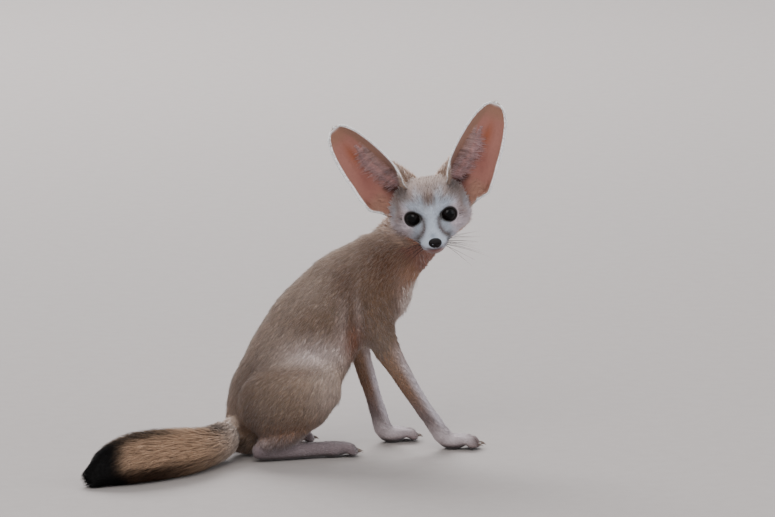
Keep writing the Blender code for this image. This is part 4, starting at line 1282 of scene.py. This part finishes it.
# the pad of the nose, and round it the reach without fur
noseLook = {
    "radii": (6.6, 5.0, 5.1),
    "shift": (1.2, 0.4, -0.3),
    "tone": (11, 6, 7),
    "bare": (7.0, 6.0, 5.2),
    "square": 0.93,
    "narrow": 0.16,
    "groove": 0.5,
    "grooveWidth": 0.45,
    "nostril": (3.2, 3.6, -0.9),
    "nostrilSize": (1.5, 2.6, 1.1),
    "nostrilDepth": 1.9,
    "slit": (5.0, 2.0, -1.0),
    "slitSize": (1.3, 1.8, 0.5),
    "slitDepth": 0.7,
}


def furShare(points):
    # 0 over the eyes, the nose pad, the mouth line, the gaps of the toes and the soles, 1 elsewhere
    spots = toHead(points)
    clear = np.ones(len(points))
    for side in (-1, 1):
        local, part = fromLids(spots, side)
        clear = np.where((local[:, 1] > 0) & (part < 1.16), 0, clear)
    away = (spots - np.array(noseAt)) / noseLook["bare"]
    clear = np.where(np.linalg.norm(away, axis=1) < 1, 0, clear)
    near = (spots[:, 2] < -17) & (spots[:, 1] > 0)
    clear[near] *= nearestOn(mouthLine(), spots[near]) > 1.9
    for near, along, aside, _, reach, _ in aboutPaws(points, 12):
        gaps = np.clip(toeGaps(along, aside, reach), 0, 1)
        clear[near] *= 1 - gaps * (along > reach - 17)
    return clear * (points[:, 2] > coatFloor)


def bodyGroups():
    # for each piece of the coat, how much of it grows at each point of the skin, and its kind
    front = toHead(skinVerts)[:, 1] > faceFrom
    left = toBody(skinVerts)[:, 1] > 0
    return {
        "coat_face": (skinPart["head"] * front, "face"),
        "coat_nape": (skinPart["head"] * ~front, "nape"),
        "coat_neck": (skinPart["neck"], "neck"),
        "coat_back_left": (skinPart["torso"] * left, "torso"),
        "coat_back_right": (skinPart["torso"] * ~left, "torso"),
        "coat_thighs": (skinPart["thigh"], "thigh"),
        "coat_forelegs": (skinPart["foreleg"], "foreleg"),
        "coat_forepaws": (skinPart["forepaw"], "forepaw"),
        "coat_hindfeet": (skinPart["hindfoot"], "hindfoot"),
    }


def earFoot(spots):
    # 1 round the foot of each ear, where the fur of the head runs over it
    foot = np.zeros(len(spots))
    for side in (1, -1):
        splay = math.radians(earLook["splay"][side])
        axis = np.array([side * math.sin(splay), 0, math.cos(splay)])
        out = spots - np.array(earLook["base"]) * [side, 1, 1]
        out = out - (out @ axis)[:, None] * axis
        foot = np.maximum(foot, bell(np.linalg.norm(out, axis=1), 20, 6))
    return foot * (ramp(spots[:, 1], -45, -30) * ramp(spots[:, 2], -6, 4))


def combHead(kind, spots, lengths, widths, lifts):
    # longer and steeper at the cheeks, round the ears and on the crown, and short towards the nose
    cheek = ramp(np.abs(spots[:, 0]), 18, 30) * ramp(4 - spots[:, 2], -6, 8)
    cheek = np.maximum(cheek, patch(np.abs(spots), (17, 2, 17), (9, 14, 8)) * (spots[:, 2] < 0))
    foot = earFoot(spots)
    lengths *= 1 + headFur[kind]["cheek"] * cheek
    lifts *= 1 + 0.8 * cheek
    lengths *= 1 + headFur[kind]["earFoot"] * foot
    lifts *= 1 + 1.2 * foot
    lengths *= 1 + headFur[kind]["crown"] * ramp(spots[:, 2], 8, 16)
    if kind == "face":
        near = ramp(spots[:, 1], 8, 34)
        lengths *= 1 - 0.55 * near
        widths *= 1 - 0.3 * near
        for side in (-1, 1):
            away = np.linalg.norm(toEye(spots, side) - [0, eyeRadius, 0], axis=1)
            lengths *= 1 - 0.45 * bell(away, 8, 5)


def growCoat(name, weights, kind, draw):
    look = coatLook[kind]
    chosen, corners = scatter(weights * look["density"] * thin, draw)
    roots = onSkin(skinVerts, chosen, corners)
    normals = unit(onSkin(skinNormals, chosen, corners))
    lies = unit(onSkin(skinLie, chosen, corners))
    part = {key: onSkin(values, chosen, corners) for key, values in skinPart.items()}
    count = len(roots)
    # the borders of the markings stray along the hair
    stray = draw.uniform(-look["placeStray"], look["placeStray"], count)[:, None] * mm
    base = coatTones(roots + lies * stray, normals, part)
    lengths = look["length"] * draw.uniform(0.75, 1.2, count)
    gap = look["density"] * thin * look["lock"]**2
    lies, lockTone = lockTogether(roots, lies, lengths, gap, 0.75, draw)
    vary = (draw.uniform(0.86, 1.16, count) * (1 + look["toneStray"] * lockTone))[:, None]
    # each tuft darker at its root and paler at its tip: painted shade low in the coat, painted light on
    # the tips
    rootTone = base * vary * 0.8
    tipTone = base * vary * 1.12
    if kind in darkTips:
        dark = (draw.random(count) < darkTips[kind])[:, None]
        tipTone = np.where(dark, base * 0.42, tipTone)
        pale = (draw.random(count) < paleTips)[:, None]
        tipTone = np.where(pale, base * 0.6 + tones["fold"] * 0.55, tipTone)
    widths = look["width"] * draw.uniform(0.75, 1.25, count)
    lifts = np.radians(look["lift"] * draw.uniform(0.6, 1.5, count) * (1 + 0.35 * lockTone))
    # short underneath
    lengths *= 1 - 0.5 * ramp(-normals[:, 2], 0.2, 0.8)
    if kind in headFur:
        spots = toHead(roots)
        combHead(kind, spots, lengths, widths, lifts)
        crown = ramp(spots[:, 2], 8, 16)
        strands = 1 + (draw.uniform(-0.28, 0.28, count) * crown * headFur[kind]["strands"])[:, None]
        rootTone, tipTone = rootTone * strands, tipTone * strands
    side = unit(np.cross(normals, lies))
    lies = unit(lies + side * draw.normal(0, 0.08, count)[:, None])
    growTufts(name, roots, normals, lies, {
        "rings": look["rings"],
        "length": lengths,
        "width": widths,
        "lift": lifts,
        "curl": np.full(count, look["curl"]),
        "rootTone": rootTone,
        "tipTone": tipTone,
    }, skinUnwrap(roots, skinKinds[skinTris[chosen][:, 0]]), draw)


fur = furShare(skinVerts)
for seed, (name, (share, kind)) in enumerate(bodyGroups().items(), 100):
    growCoat(name, share * fur, kind, np.random.default_rng(seed))


# Chest: a loose pale tuft that stands out at the front
chestLook = {
    "middle": (112, -10, 156),
    "reach": (18, 15, 17),
    "density": 2.0,
    "length": 14,
    "width": 0.75,
    "hang": (0.15, -0.1, -1.0),
    "tone": (206, 190, 182),
}


def growChest():
    draw = np.random.default_rng(290)
    place = patch(toBody(skinVerts), chestLook["middle"], chestLook["reach"])
    weights = place ** 2 * chestLook["density"] * thin * ramp(skinNormals[:, 0], 0.2, 0.6)
    chosen, corners = scatter(weights, draw)
    roots = onSkin(skinVerts, chosen, corners)
    normals = unit(onSkin(skinNormals, chosen, corners))
    count = len(roots)
    lies = alongSurface(np.array(chestLook["hang"]) + draw.normal(0, 0.16, (count, 3)), normals)
    base = tone(*chestLook["tone"], coatLight) * draw.uniform(0.85, 1.1, count)[:, None]
    growTufts("chest_tuft", roots, normals, lies, {
        "rings": 2,
        "length": chestLook["length"] * draw.uniform(0.5, 1.15, count),
        "width": chestLook["width"] * draw.uniform(0.6, 1.2, count),
        "lift": np.radians(draw.uniform(12, 38, count)),
        "curl": np.full(count, 0.22),
        # darker at the root: painted shade low in the tuft
        "rootTone": base * 0.8,
        "tipTone": base,
    }, skinUnwrap(roots, skinKinds[skinTris[chosen][:, 0]]), draw)


growChest()


# Brush of the tail: long overlapping locks that follow its bend and stand out a little at their tips
brushLook = {
    "count": 16000,
    "length": 27,
    "width": 0.75,
    "reach": (0.82, 1.17),
    "rings": 2,
    "end": 6.15,
}


def growBrush(name, seed, first, last):
    draw = np.random.default_rng(seed)
    count = int(brushLook["count"] * thin)
    lastPlace = brushLook["end"]
    along = draw.uniform(first, last, count)
    turns = draw.uniform(0, 2 * math.pi, count)
    total = np.linalg.norm(np.diff(np.array([station[0] for station in brush]), axis=0), axis=1).sum()
    lengths = brushLook["length"] * draw.uniform(0.7, 1.15, count)
    lengths *= (0.5 + 0.5 * ramp(along, 0.0, 0.25)) * (1 - 0.35 * ramp(along, 0.8, 1.0))
    rootShare = 0.56 + 0.36 * (1 - ramp(along, 0, 0.16)) + draw.uniform(-0.06, 0.18, count)
    tipShare = np.maximum(draw.uniform(*brushLook["reach"], count), rootShare + 0.03)
    tipShare += 0.05 * np.maximum(np.sin(turns), 0)
    stray = draw.normal(0, 0.09, count)
    spine = []
    for t in list(np.arange(brushLook["rings"]) / brushLook["rings"]) + [1.0]:
        places = along * lastPlace + lengths / total * t * (len(brush) - 1)
        centre, way, across, up, depth, width = brushFrame(np.minimum(places, lastPlace))
        share = (rootShare + (tipShare - rootShare) * math.sin(t * math.pi / 2))[:, None]
        turn = (turns + stray * t)[:, None]
        past = np.maximum(places - lastPlace, 0)[:, None] / (len(brush) - 1) * total
        share = share * (1 - 0.022 * past)
        ring = (across * np.cos(turn) * width + up * np.sin(turn) * depth) * share
        spine.append(fromBody(centre + ring + way * past))
        if t == 0:
            normals = unit(across * np.cos(turn) / width + up * np.sin(turn) / depth)
    base = tailTones(np.minimum(along + 0.04, 1), turns)
    vary = draw.uniform(0.78, 1.25, count)[:, None]
    # the tip takes the brush's tones a little further along, made paler as painted light
    tip = tailTones(np.minimum(along + 0.12, 1), turns) * vary * 1.1
    above = np.sin(turns)
    darkTip = (draw.random(count) < 0.05 + 0.7 * ramp(above, 0.84, 0.99) * ramp(along, 0.25, 0.4)
               + 0.2 * ramp(-above, 0.1, 0.8) * ramp(along, 0.4, 0.65))[:, None]
    tip = np.where(darkTip, tones["tailDark"] * 1.2, tip)
    uvs = unwrapAlong(toBody(spine[0]), "tail")
    growTufts(name, spine[0], normals, unit(spine[1] - spine[0]), {
        "rings": brushLook["rings"],
        "length": lengths,
        "width": brushLook["width"] * draw.uniform(0.6, 1.3, count),
        "spine": spine,
        # a darker root: painted shade low in the brush
        "rootTone": base * vary * 0.8,
        "tipTone": tip,
    }, uvs, draw, brushFinish)


growBrush("brush_root", 301, 0.0, 0.48)
growBrush("brush_tip", 302, 0.48, 1.0)


# Fur of the ears: tufts on each, rings, width, lift in degrees, curl, how far over the sheet they
# start, and the side of the sheet
earFurColumns = ("count", "rings", "width", "lift", "curl", "above", "face")
earFur = {kind: dict(zip(earFurColumns, values)) for kind, values in {
    "back": (9500, 1, 0.65, (4, 16), 0.06, -0.6, "Out"),
    "hair": (3400, 2, 0.5, (1, 9), 0.05, 0.6, "In"),
    "down": (7000, 1, 0.4, (5, 25), 0.05, 0.55, "In"),
    "fringe": (5200, 1, 0.6, (-14, 22), 0.0, 0.0, "In"),
}.items()}
# the long hair lies in rows across the hollow of the cup
hairRows = 30
cupRadius = 23


def earUv(side, share, turnShare, face):
    left, low, wide, tall = unwrapTiles["ear" + face + ("Left" if side > 0 else "Right")][1]
    return np.stack([left + wide * (turnShare / 2 + 0.5), low + tall * (share + 0.2) / 1.2], 1)


def growOnEar(side, kind, share, turnShare, lies, length, rootTone, tipTone, draw, breadth=1.0, rise=0.0):
    look = earFur[kind]
    spots, inward, _, _ = earPlaces(side, share, turnShare)
    count = len(share)
    name = "ear_" + kind + ("_left" if side > 0 else "_right")
    normals = -inward if look["face"] == "Out" else inward
    growTufts(name, spots + inward * look["above"] * mm, normals, lies, {
        "rings": look["rings"],
        "length": length,
        "width": np.full(count, look["width"]) * breadth,
        "lift": np.radians(draw.uniform(*look["lift"], count)) + rise,
        "curl": np.full(count, look["curl"]),
        "rootTone": rootTone,
        "tipTone": tipTone,
    }, earUv(side, share, turnShare, look["face"]), draw)


def growEarBack(side, count, draw):
    # short fur behind
    share = draw.uniform(0.0, 0.995, count)
    turnShare = draw.uniform(-1, 1, count)
    _, _, alongUp, across = earPlaces(side, share, turnShare)
    vary = draw.uniform(0.8, 1.25, count)[:, None]
    # paler towards both edges: partly pale fringe, partly painted rim light
    pale = ramp(np.abs(turnShare), 0.86, 1.0)
    tint = mixed(np.tile(earTones["rear"], (count, 1)), earTones["rim"], pale) * vary
    lies = unit(alongUp + across * draw.normal(0, 0.2, count)[:, None])
    length = 4.2 * draw.uniform(0.7, 1.2, count)
    # darker at the root and paler at the tip: painted shade and painted light
    growOnEar(side, "back", share, turnShare, lies, length, tint * 0.85, tint * 1.1, draw)


def growEarHair(side, count, draw):
    # rows of long fine hair that start along the inner edge and lie across the cup
    row = draw.integers(0, hairRows, count)
    share = 0.13 + 0.60 * (row + 0.5 + draw.normal(0, 0.16, count)) / hairRows
    turnShare = -0.62 + 0.62 * draw.beta(1.2, 1.9, count)
    _, _, alongUp, across = earPlaces(side, share, turnShare)
    vary = (draw.uniform(0.8, 1.2, count) * draw.uniform(0.72, 1.25, hairRows)[row])[:, None]
    length = (4 + 8 * np.sin(np.clip(share * 1.1, 0, 1) * math.pi)) * draw.uniform(0.4, 1.35, count)
    length *= 1 - 0.55 * ramp(share, 0.5, 0.72)
    under = earInsideTones(share, turnShare)
    lies = unit(across + alongUp * (0.30 + draw.normal(0, 0.12, count))[:, None])
    # it bridges the hollow of the cup, so it rises by half its own arc
    growOnEar(side, "hair", share, turnShare, lies, length, under * vary,
              (earTones["hair"] * 0.8 + under * 0.2) * vary, draw,
              breadth=draw.uniform(0.7, 1.3, count), rise=length / 2 / cupRadius)


def growEarDown(side, count, draw):
    # short down over the rest of the inside
    share = 0.97 - 0.97 * draw.random(count) ** 0.8
    turnShare = draw.uniform(-0.95, 0.97, count)
    _, _, alongUp, across = earPlaces(side, share, turnShare)
    vary = draw.uniform(0.8, 1.2, count)[:, None]
    base = earInsideTones(share, turnShare) * vary
    furry = ramp(0.24 - share, 0, 0.1) * ramp(turnShare, 0.1, 0.4)
    lies = unit(alongUp * 0.5 + across * np.sign(turnShare)[:, None] * 0.6
                + across * draw.normal(0, 0.3, count)[:, None])
    length = (2.8 + 4.5 * furry) * draw.uniform(0.6, 1.3, count)
    # darker at the root and paler at the tip: painted shade and painted light
    growOnEar(side, "down", share, turnShare, lies, length, base * 0.9, base * 1.15, draw)


def growEarFringe(side, count, draw):
    # up both edges and over the tip
    run = draw.uniform(-1, 1, count)
    share = np.clip(1.02 - np.abs(run) ** 1.6, 0.02, 0.998)
    turnShare = np.where(np.abs(run) < 0.12, run / 0.12, np.sign(run)) * 0.985
    _, inward, alongUp, across = earPlaces(side, share, turnShare)
    upward = (0.7 + 0.8 * ramp(share, 0.93, 1.0))[:, None]
    outward = unit(across * turnShare[:, None] * 0.7 + alongUp * upward
                   + inward * draw.normal(0.1, 0.3, count)[:, None])
    vary = draw.uniform(0.85, 1.2, count)[:, None]
    # low on the inner edge the fringe turns into the fur of the crown
    foot = ramp(0.3 - share, 0, 0.14) * (turnShare < 0)
    # the fringe's near-white tone is partly painted rim light
    tint = mixed(np.tile(earTones["rim"], (count, 1)), tones["crown"] * 1.15, foot) * vary
    length = (2.6 + 3.5 * ramp(0.35 - share, 0, 0.3) + 3 * foot) * draw.uniform(0.5, 1.3, count)
    # darker at the root and paler at the tip: painted shade and painted light
    growOnEar(side, "fringe", share, turnShare, alongSurface(outward, inward), length,
              tint * 0.85, tint * 1.15, draw)


for side in (1, -1):
    draw = np.random.default_rng(400 + side)
    for kind, grow in (("back", growEarBack), ("hair", growEarHair), ("down", growEarDown),
                       ("fringe", growEarFringe)):
        grow(side, int(earFur[kind]["count"] * thin), draw)


# Eyes: a dark globe with a brown iris under a clear, wet surface
eyeLook = {
    "iris": 6.6,
    "pupil": 4.1,
    "bulge": 0.5,
    "borders": {"iris": 0.3, "pupil": 0.4},
    "irisTone": (17, 12, 11),
    "pupilTone": (4, 3, 4),
    "whiteTone": (18, 12, 12),
}


def ballOf(ringCount, turnCount, reachOf):
    # a ball of rings about the way ahead; reachOf gives the radius of the rings that lie so far forward
    rings = np.linspace(0, math.pi, ringCount)[1:-1]
    turns = np.linspace(0, 2 * math.pi, turnCount, endpoint=False)
    reach = reachOf(np.cos(rings))
    return loft(np.stack([(np.sin(rings) * reach)[:, None] * np.cos(turns)[None],
                          (np.cos(rings) * reach)[:, None] * np.ones(turnCount)[None],
                          -(np.sin(rings) * reach)[:, None] * np.sin(turns)[None]], -1))


def makeEye(side, word, finish):
    verts, tris = ballOf(41, 64, lambda ahead: eyeRadius + eyeLook["bulge"] * ramp(ahead, 0.72, 0.95))
    out = np.hypot(verts[:, 0], verts[:, 2])
    front = verts[:, 1] > 0
    colour = np.tile(tone(*eyeLook["whiteTone"]), (len(verts), 1))
    for name, soft in eyeLook["borders"].items():
        edge = eyeLook[name]
        inside = front * ramp(-out, -edge - soft, -edge + soft)
        colour = mixed(colour, tone(*eyeLook[name + "Tone"]), inside)
    place = fromHead(fromEye(verts, side))
    eye = meshFrom("eye_globe_" + word, place, facingOut(place, tris), colour)
    eye.data.materials.append(finish)
    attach(eye, "root")
    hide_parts("eye_" + word)


def makeLid(side, word, finish):
    # the dark wet edge of the lids, thicker above and drawn out at the tear corner
    turns = np.linspace(0, 2 * math.pi, lidLook["steps"], endpoint=False)
    outline = lidOutline(turns, side)
    radius = eyeRadius + 0.35
    away = np.minimum(np.sum(outline**2, axis=1), (radius * 0.985) ** 2)
    centre = np.stack([outline[:, 0], np.sqrt(radius**2 - away), outline[:, 1]], 1)
    out = unit(centre)
    aside = alongSurface(unit(centre * [1, 0, 1]), out)
    inner = np.maximum(0, -side * np.cos(turns)) ** 4
    width = lidLook["rimWidth"] * (1 + 0.35 * np.maximum(0, np.sin(turns)) + 0.5 * inner)
    spin = np.linspace(0, 2 * math.pi, lidLook["sides"], endpoint=False)
    rings = (centre[:, None] + aside[:, None] * np.cos(spin)[None, :, None] * width[:, None, None]
             + out[:, None] * np.sin(spin)[None, :, None] * lidLook["rimHeight"])
    count, sides = rings.shape[:2]
    a = np.arange(count * sides).reshape(count, sides)
    b = np.roll(a, -1, axis=1)
    c = np.roll(b, -1, axis=0)
    d = np.roll(a, -1, axis=0)
    tris = np.concatenate([np.stack(face, -1).reshape(-1, 3) for face in ((a, b, c), (a, c, d))])
    verts = fromHead(fromEye(rings.reshape(-1, 3), side))
    colour = np.tile(tone(*lidLook["tone"]), (len(verts), 1))
    lid = meshFrom("lids_" + word, verts, facingOut(verts, tris), colour)
    lid.data.materials.append(finish)
    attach(lid, "root")


wetEye = tintedFinish("eye", 0.05, 0.14)
lidFinish = coatFinish("lid edge", 0.4, 0.2, 900, 0.1)
for side, word in ((1, "left"), (-1, "right")):
    makeEye(side, word, wetEye)
    makeLid(side, word, lidFinish)
print("eyes are in")


# Nose: a soft dark pad with a groove and two comma-shaped nostrils
def makeNose():
    verts, tris = ballOf(61, 96, np.ones_like)
    # wider above than below, with a flat front
    verts[:, 0] *= 1 - noseLook["narrow"] * ramp(-verts[:, 2], 0.0, 1.0)
    verts = np.sign(verts) * np.abs(verts) ** noseLook["square"] * noseLook["radii"]
    groove = noseLook["groove"] * bell(verts[:, 0], 0, noseLook["grooveWidth"])
    push = groove * ramp(verts[:, 1], 0.5, 3.5) * ramp(-verts[:, 2], -1.5, 1.0)
    for side in (-1, 1):
        away = (verts - np.array(noseLook["nostril"]) * [side, 1, 1]) / noseLook["nostrilSize"]
        push += noseLook["nostrilDepth"] * np.exp(-np.sum(away**2, axis=1) * 1.2)
        away = (verts - np.array(noseLook["slit"]) * [side, 1, 1]) / noseLook["slitSize"]
        push += noseLook["slitDepth"] * np.exp(-np.sum(away**2, axis=1))
    verts = verts - unit(verts) * push[:, None]
    shade = 1 - 0.75 * np.clip(push / 1.6, 0, 1)
    colour = np.tile(tone(*noseLook["tone"], 1.2), (len(verts), 1)) * shade[:, None]
    place = fromHead(verts + np.array(noseAt) + np.array(noseLook["shift"]))
    nose = meshFrom("nose_pad", place, facingOut(place, tris), colour)
    finish = tintedFinish("nose leather", 0.5, 0.2)
    nodes, links = finish.node_tree.nodes, finish.node_tree.links
    cells = nodes.new("ShaderNodeTexVoronoi")
    cells.inputs["Scale"].default_value = 1500
    relief = nodes.new("ShaderNodeBump")
    relief.inputs["Distance"].default_value = 0.12 * mm
    links.new(cells.outputs["Distance"], relief.inputs["Height"])
    links.new(relief.outputs["Normal"], nodes["Principled BSDF"].inputs["Normal"])
    nose.data.materials.append(finish)
    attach(nose, "root")
    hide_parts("nose")


makeNose()


# Thin curved tubes for the whiskers, and curved cones for the claws
def curvedSpikes(name, starts, ways, bends, lengths, widths, sides, steps, colour, finish):
    spin = np.linspace(0, 2 * math.pi, sides, endpoint=False)
    allVerts, allTris, count = [], [], 0
    for start, way, bend, length, width in zip(starts, ways, bends, lengths, widths):
        way = unit(way)
        across = unit(np.cross(way, bend))
        up = np.cross(across, way)
        rings = []
        for t in np.linspace(0, 1, steps):
            centre = start + way * length * t * mm + bend * (length * t * t) * mm
            half = width / 2 * (1 - 0.93 * t) * mm
            out = across[None] * np.cos(spin)[:, None] + up[None] * np.sin(spin)[:, None]
            rings.append(centre + out * half)
        verts, tris = loft(np.array(rings))
        allVerts.append(verts)
        allTris.append(facingOut(verts, tris) + count)
        count += len(verts)
    verts = np.concatenate(allVerts)
    piece = meshFrom(name, verts, np.concatenate(allTris), np.tile(colour, (len(verts), 1)))
    piece.data.materials.append(finish)
    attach(piece, "root")
    return piece


whiskerLook = {
    "length": (24, 44),
    "width": 0.42,
    "bend": (0, -0.16, -0.12),
    "brows": 4,
    "browLength": (10, 16),
    "browWidth": 0.2,
    "tone": (52, 38, 36),
}


def makeWhiskers():
    draw = np.random.default_rng(500)
    starts, ways, bends, lengths, widths = [], [], [], [], []
    for side in (-1, 1):
        for forward, up in whiskerRows:
            starts.append(fromHead(np.array([[side * 13, forward, up]]))[0])
            out = np.array([side * 1.0, -0.02 - 0.35 * (25 - forward) / 12, -0.05 + 0.07 * (up + 23)])
            out = out + draw.normal(0, 0.14, 3)
            ways.append(out @ headWays)
            bends.append(np.array(whiskerLook["bend"]) @ headWays)
            lengths.append(draw.uniform(*whiskerLook["length"]))
            widths.append(whiskerLook["width"])
        for brow in range(whiskerLook["brows"]):
            starts.append(fromHead(np.array([[side * (11 + 2.2 * brow), 0, 10.5]]))[0])
            ways.append(np.array([side * (0.2 + 0.15 * brow), 0.45, 0.9]) @ headWays)
            bends.append(np.array([side * 0.1, -0.35, 0.1]) @ headWays)
            lengths.append(draw.uniform(*whiskerLook["browLength"]))
            widths.append(whiskerLook["browWidth"])
    # each starts at the point of the skin that is nearest
    skinTree = treeOf(skinVerts)
    starts = np.array([skinVerts[skinTree.find(start)[1]] for start in starts])
    piece = curvedSpikes("whiskers", starts, ways, bends, lengths, widths, 5, 8,
                         tone(*whiskerLook["tone"]), tintedFinish("whisker", 0.4))


makeWhiskers()


clawLook = {
    "length": 5.5,
    "width": 2.2,
    "tone": (104, 88, 78),
}


def makeClaws():
    starts, ways, bends = [], [], []
    for (x, y), heading, toeLength in pawLook["paws"].values():
        turn = math.radians(heading)
        along = np.array([math.cos(turn), math.sin(turn), 0])
        aside = np.array([-math.sin(turn), math.cos(turn), 0])
        for toe in range(pawLook["toes"]):
            fromMiddle = toe - (pawLook["toes"] - 1) / 2
            reach = toeLength - abs(fromMiddle) * pawLook["outerBack"]
            place = (np.array([x, y, 0]) + along * (reach - 0.5)
                     + aside * fromMiddle * pawLook["pitch"] + [0, 0, 6.0])
            starts.append(fromBody(place))
            ways.append(along + aside * fromMiddle * 0.03)
            bends.append(np.array([0, 0, -0.38]))
    count = len(starts)
    piece = curvedSpikes("claws", starts, ways, bends, [clawLook["length"]] * count,
                         [clawLook["width"]] * count, 8, 8,
                         tone(*clawLook["tone"]), tintedFinish("claw horn", 0.35))


makeClaws()
print("whiskers and claws are in")


# Camera, floor and light
viewLook = {
    "azimuth": -18.0,
    "elevation": 8.5,
    "distance": 6.0,
    "lens": 278.7,
    "aside": 87.5,
    "above": 193.8,
}


def makeView():
    azimuth, elevation = math.radians(viewLook["azimuth"]), math.radians(viewLook["elevation"])
    back = Vector((math.sin(azimuth) * math.cos(elevation), -math.cos(azimuth) * math.cos(elevation),
                   math.sin(elevation)))
    aside = Vector((0, 0, 1)).cross(back).normalized()
    up = back.cross(aside)
    target = Vector(bodyShift) + aside * viewLook["aside"] * mm + up * viewLook["above"] * mm
    camera = bpy.data.objects.new("camera", bpy.data.cameras.new("camera"))
    bpy.context.scene.collection.objects.link(camera)
    camera.data.sensor_width = 36
    camera.data.lens = viewLook["lens"]
    camera.data.clip_start = 0.1
    turn = Matrix((aside, up, back)).transposed().to_4x4()
    camera.matrix_world = Matrix.Translation(target + back * viewLook["distance"]) @ turn
    bpy.context.scene.camera = camera


floorLook = {
    "size": 14,
    "middle": (0, 3, 0),
    "grain": 60,
    "darker": (0.315, 0.285, 0.27, 1),
    "paler": (0.345, 0.315, 0.30, 1),
}


def makeFloor():
    bpy.ops.mesh.primitive_plane_add(size=floorLook["size"], location=floorLook["middle"])
    floor = bpy.context.object
    floor.name = "floor"
    finish, nodes, links, shader = newFinish("pale floor", 0.9, 0.2)
    noise = nodes.new("ShaderNodeTexNoise")
    noise.inputs["Scale"].default_value = floorLook["grain"]
    ramped = nodes.new("ShaderNodeValToRGB")
    ramped.color_ramp.elements[0].color = floorLook["darker"]
    ramped.color_ramp.elements[1].color = floorLook["paler"]
    place = nodes.new("ShaderNodeTexCoord")
    links.new(place.outputs["Object"], noise.inputs["Vector"])
    links.new(noise.outputs["Fac"], ramped.inputs["Fac"])
    links.new(ramped.outputs["Color"], shader.inputs["Base Color"])
    floor.data.materials.append(finish)


lightLook = {
    "key": ((-0.9, -1.6, 1.9), 1.6, 36, (1.0, 0.98, 0.95)),
    "fill": ((1.8, -1.2, 1.0), 1.6, 14, (0.95, 0.97, 1.0)),
    "rim": ((0.3, 4.4, 3.9), 3.4, 560, (0.98, 0.98, 1.0)),
}


def makeLights():
    for name, (place, size, power, colour) in lightLook.items():
        light = bpy.data.objects.new(name, bpy.data.lights.new(name, "AREA"))
        light.data.size = size
        light.data.energy = power
        light.data.color = colour
        light.location = place
        light.rotation_euler = (Vector((0, 0, 0.15)) - Vector(place)).to_track_quat("-Z", "Y").to_euler()
        bpy.context.scene.collection.objects.link(light)
    world = bpy.data.worlds.new("studio")
    world.use_nodes = True
    world.node_tree.nodes["Background"].inputs["Color"].default_value = (0.93, 0.95, 1.0, 1)
    world.node_tree.nodes["Background"].inputs["Strength"].default_value = 0.75
    bpy.context.scene.world = world


makeView()
makeFloor()
makeLights()
print("camera, floor and lights are in")
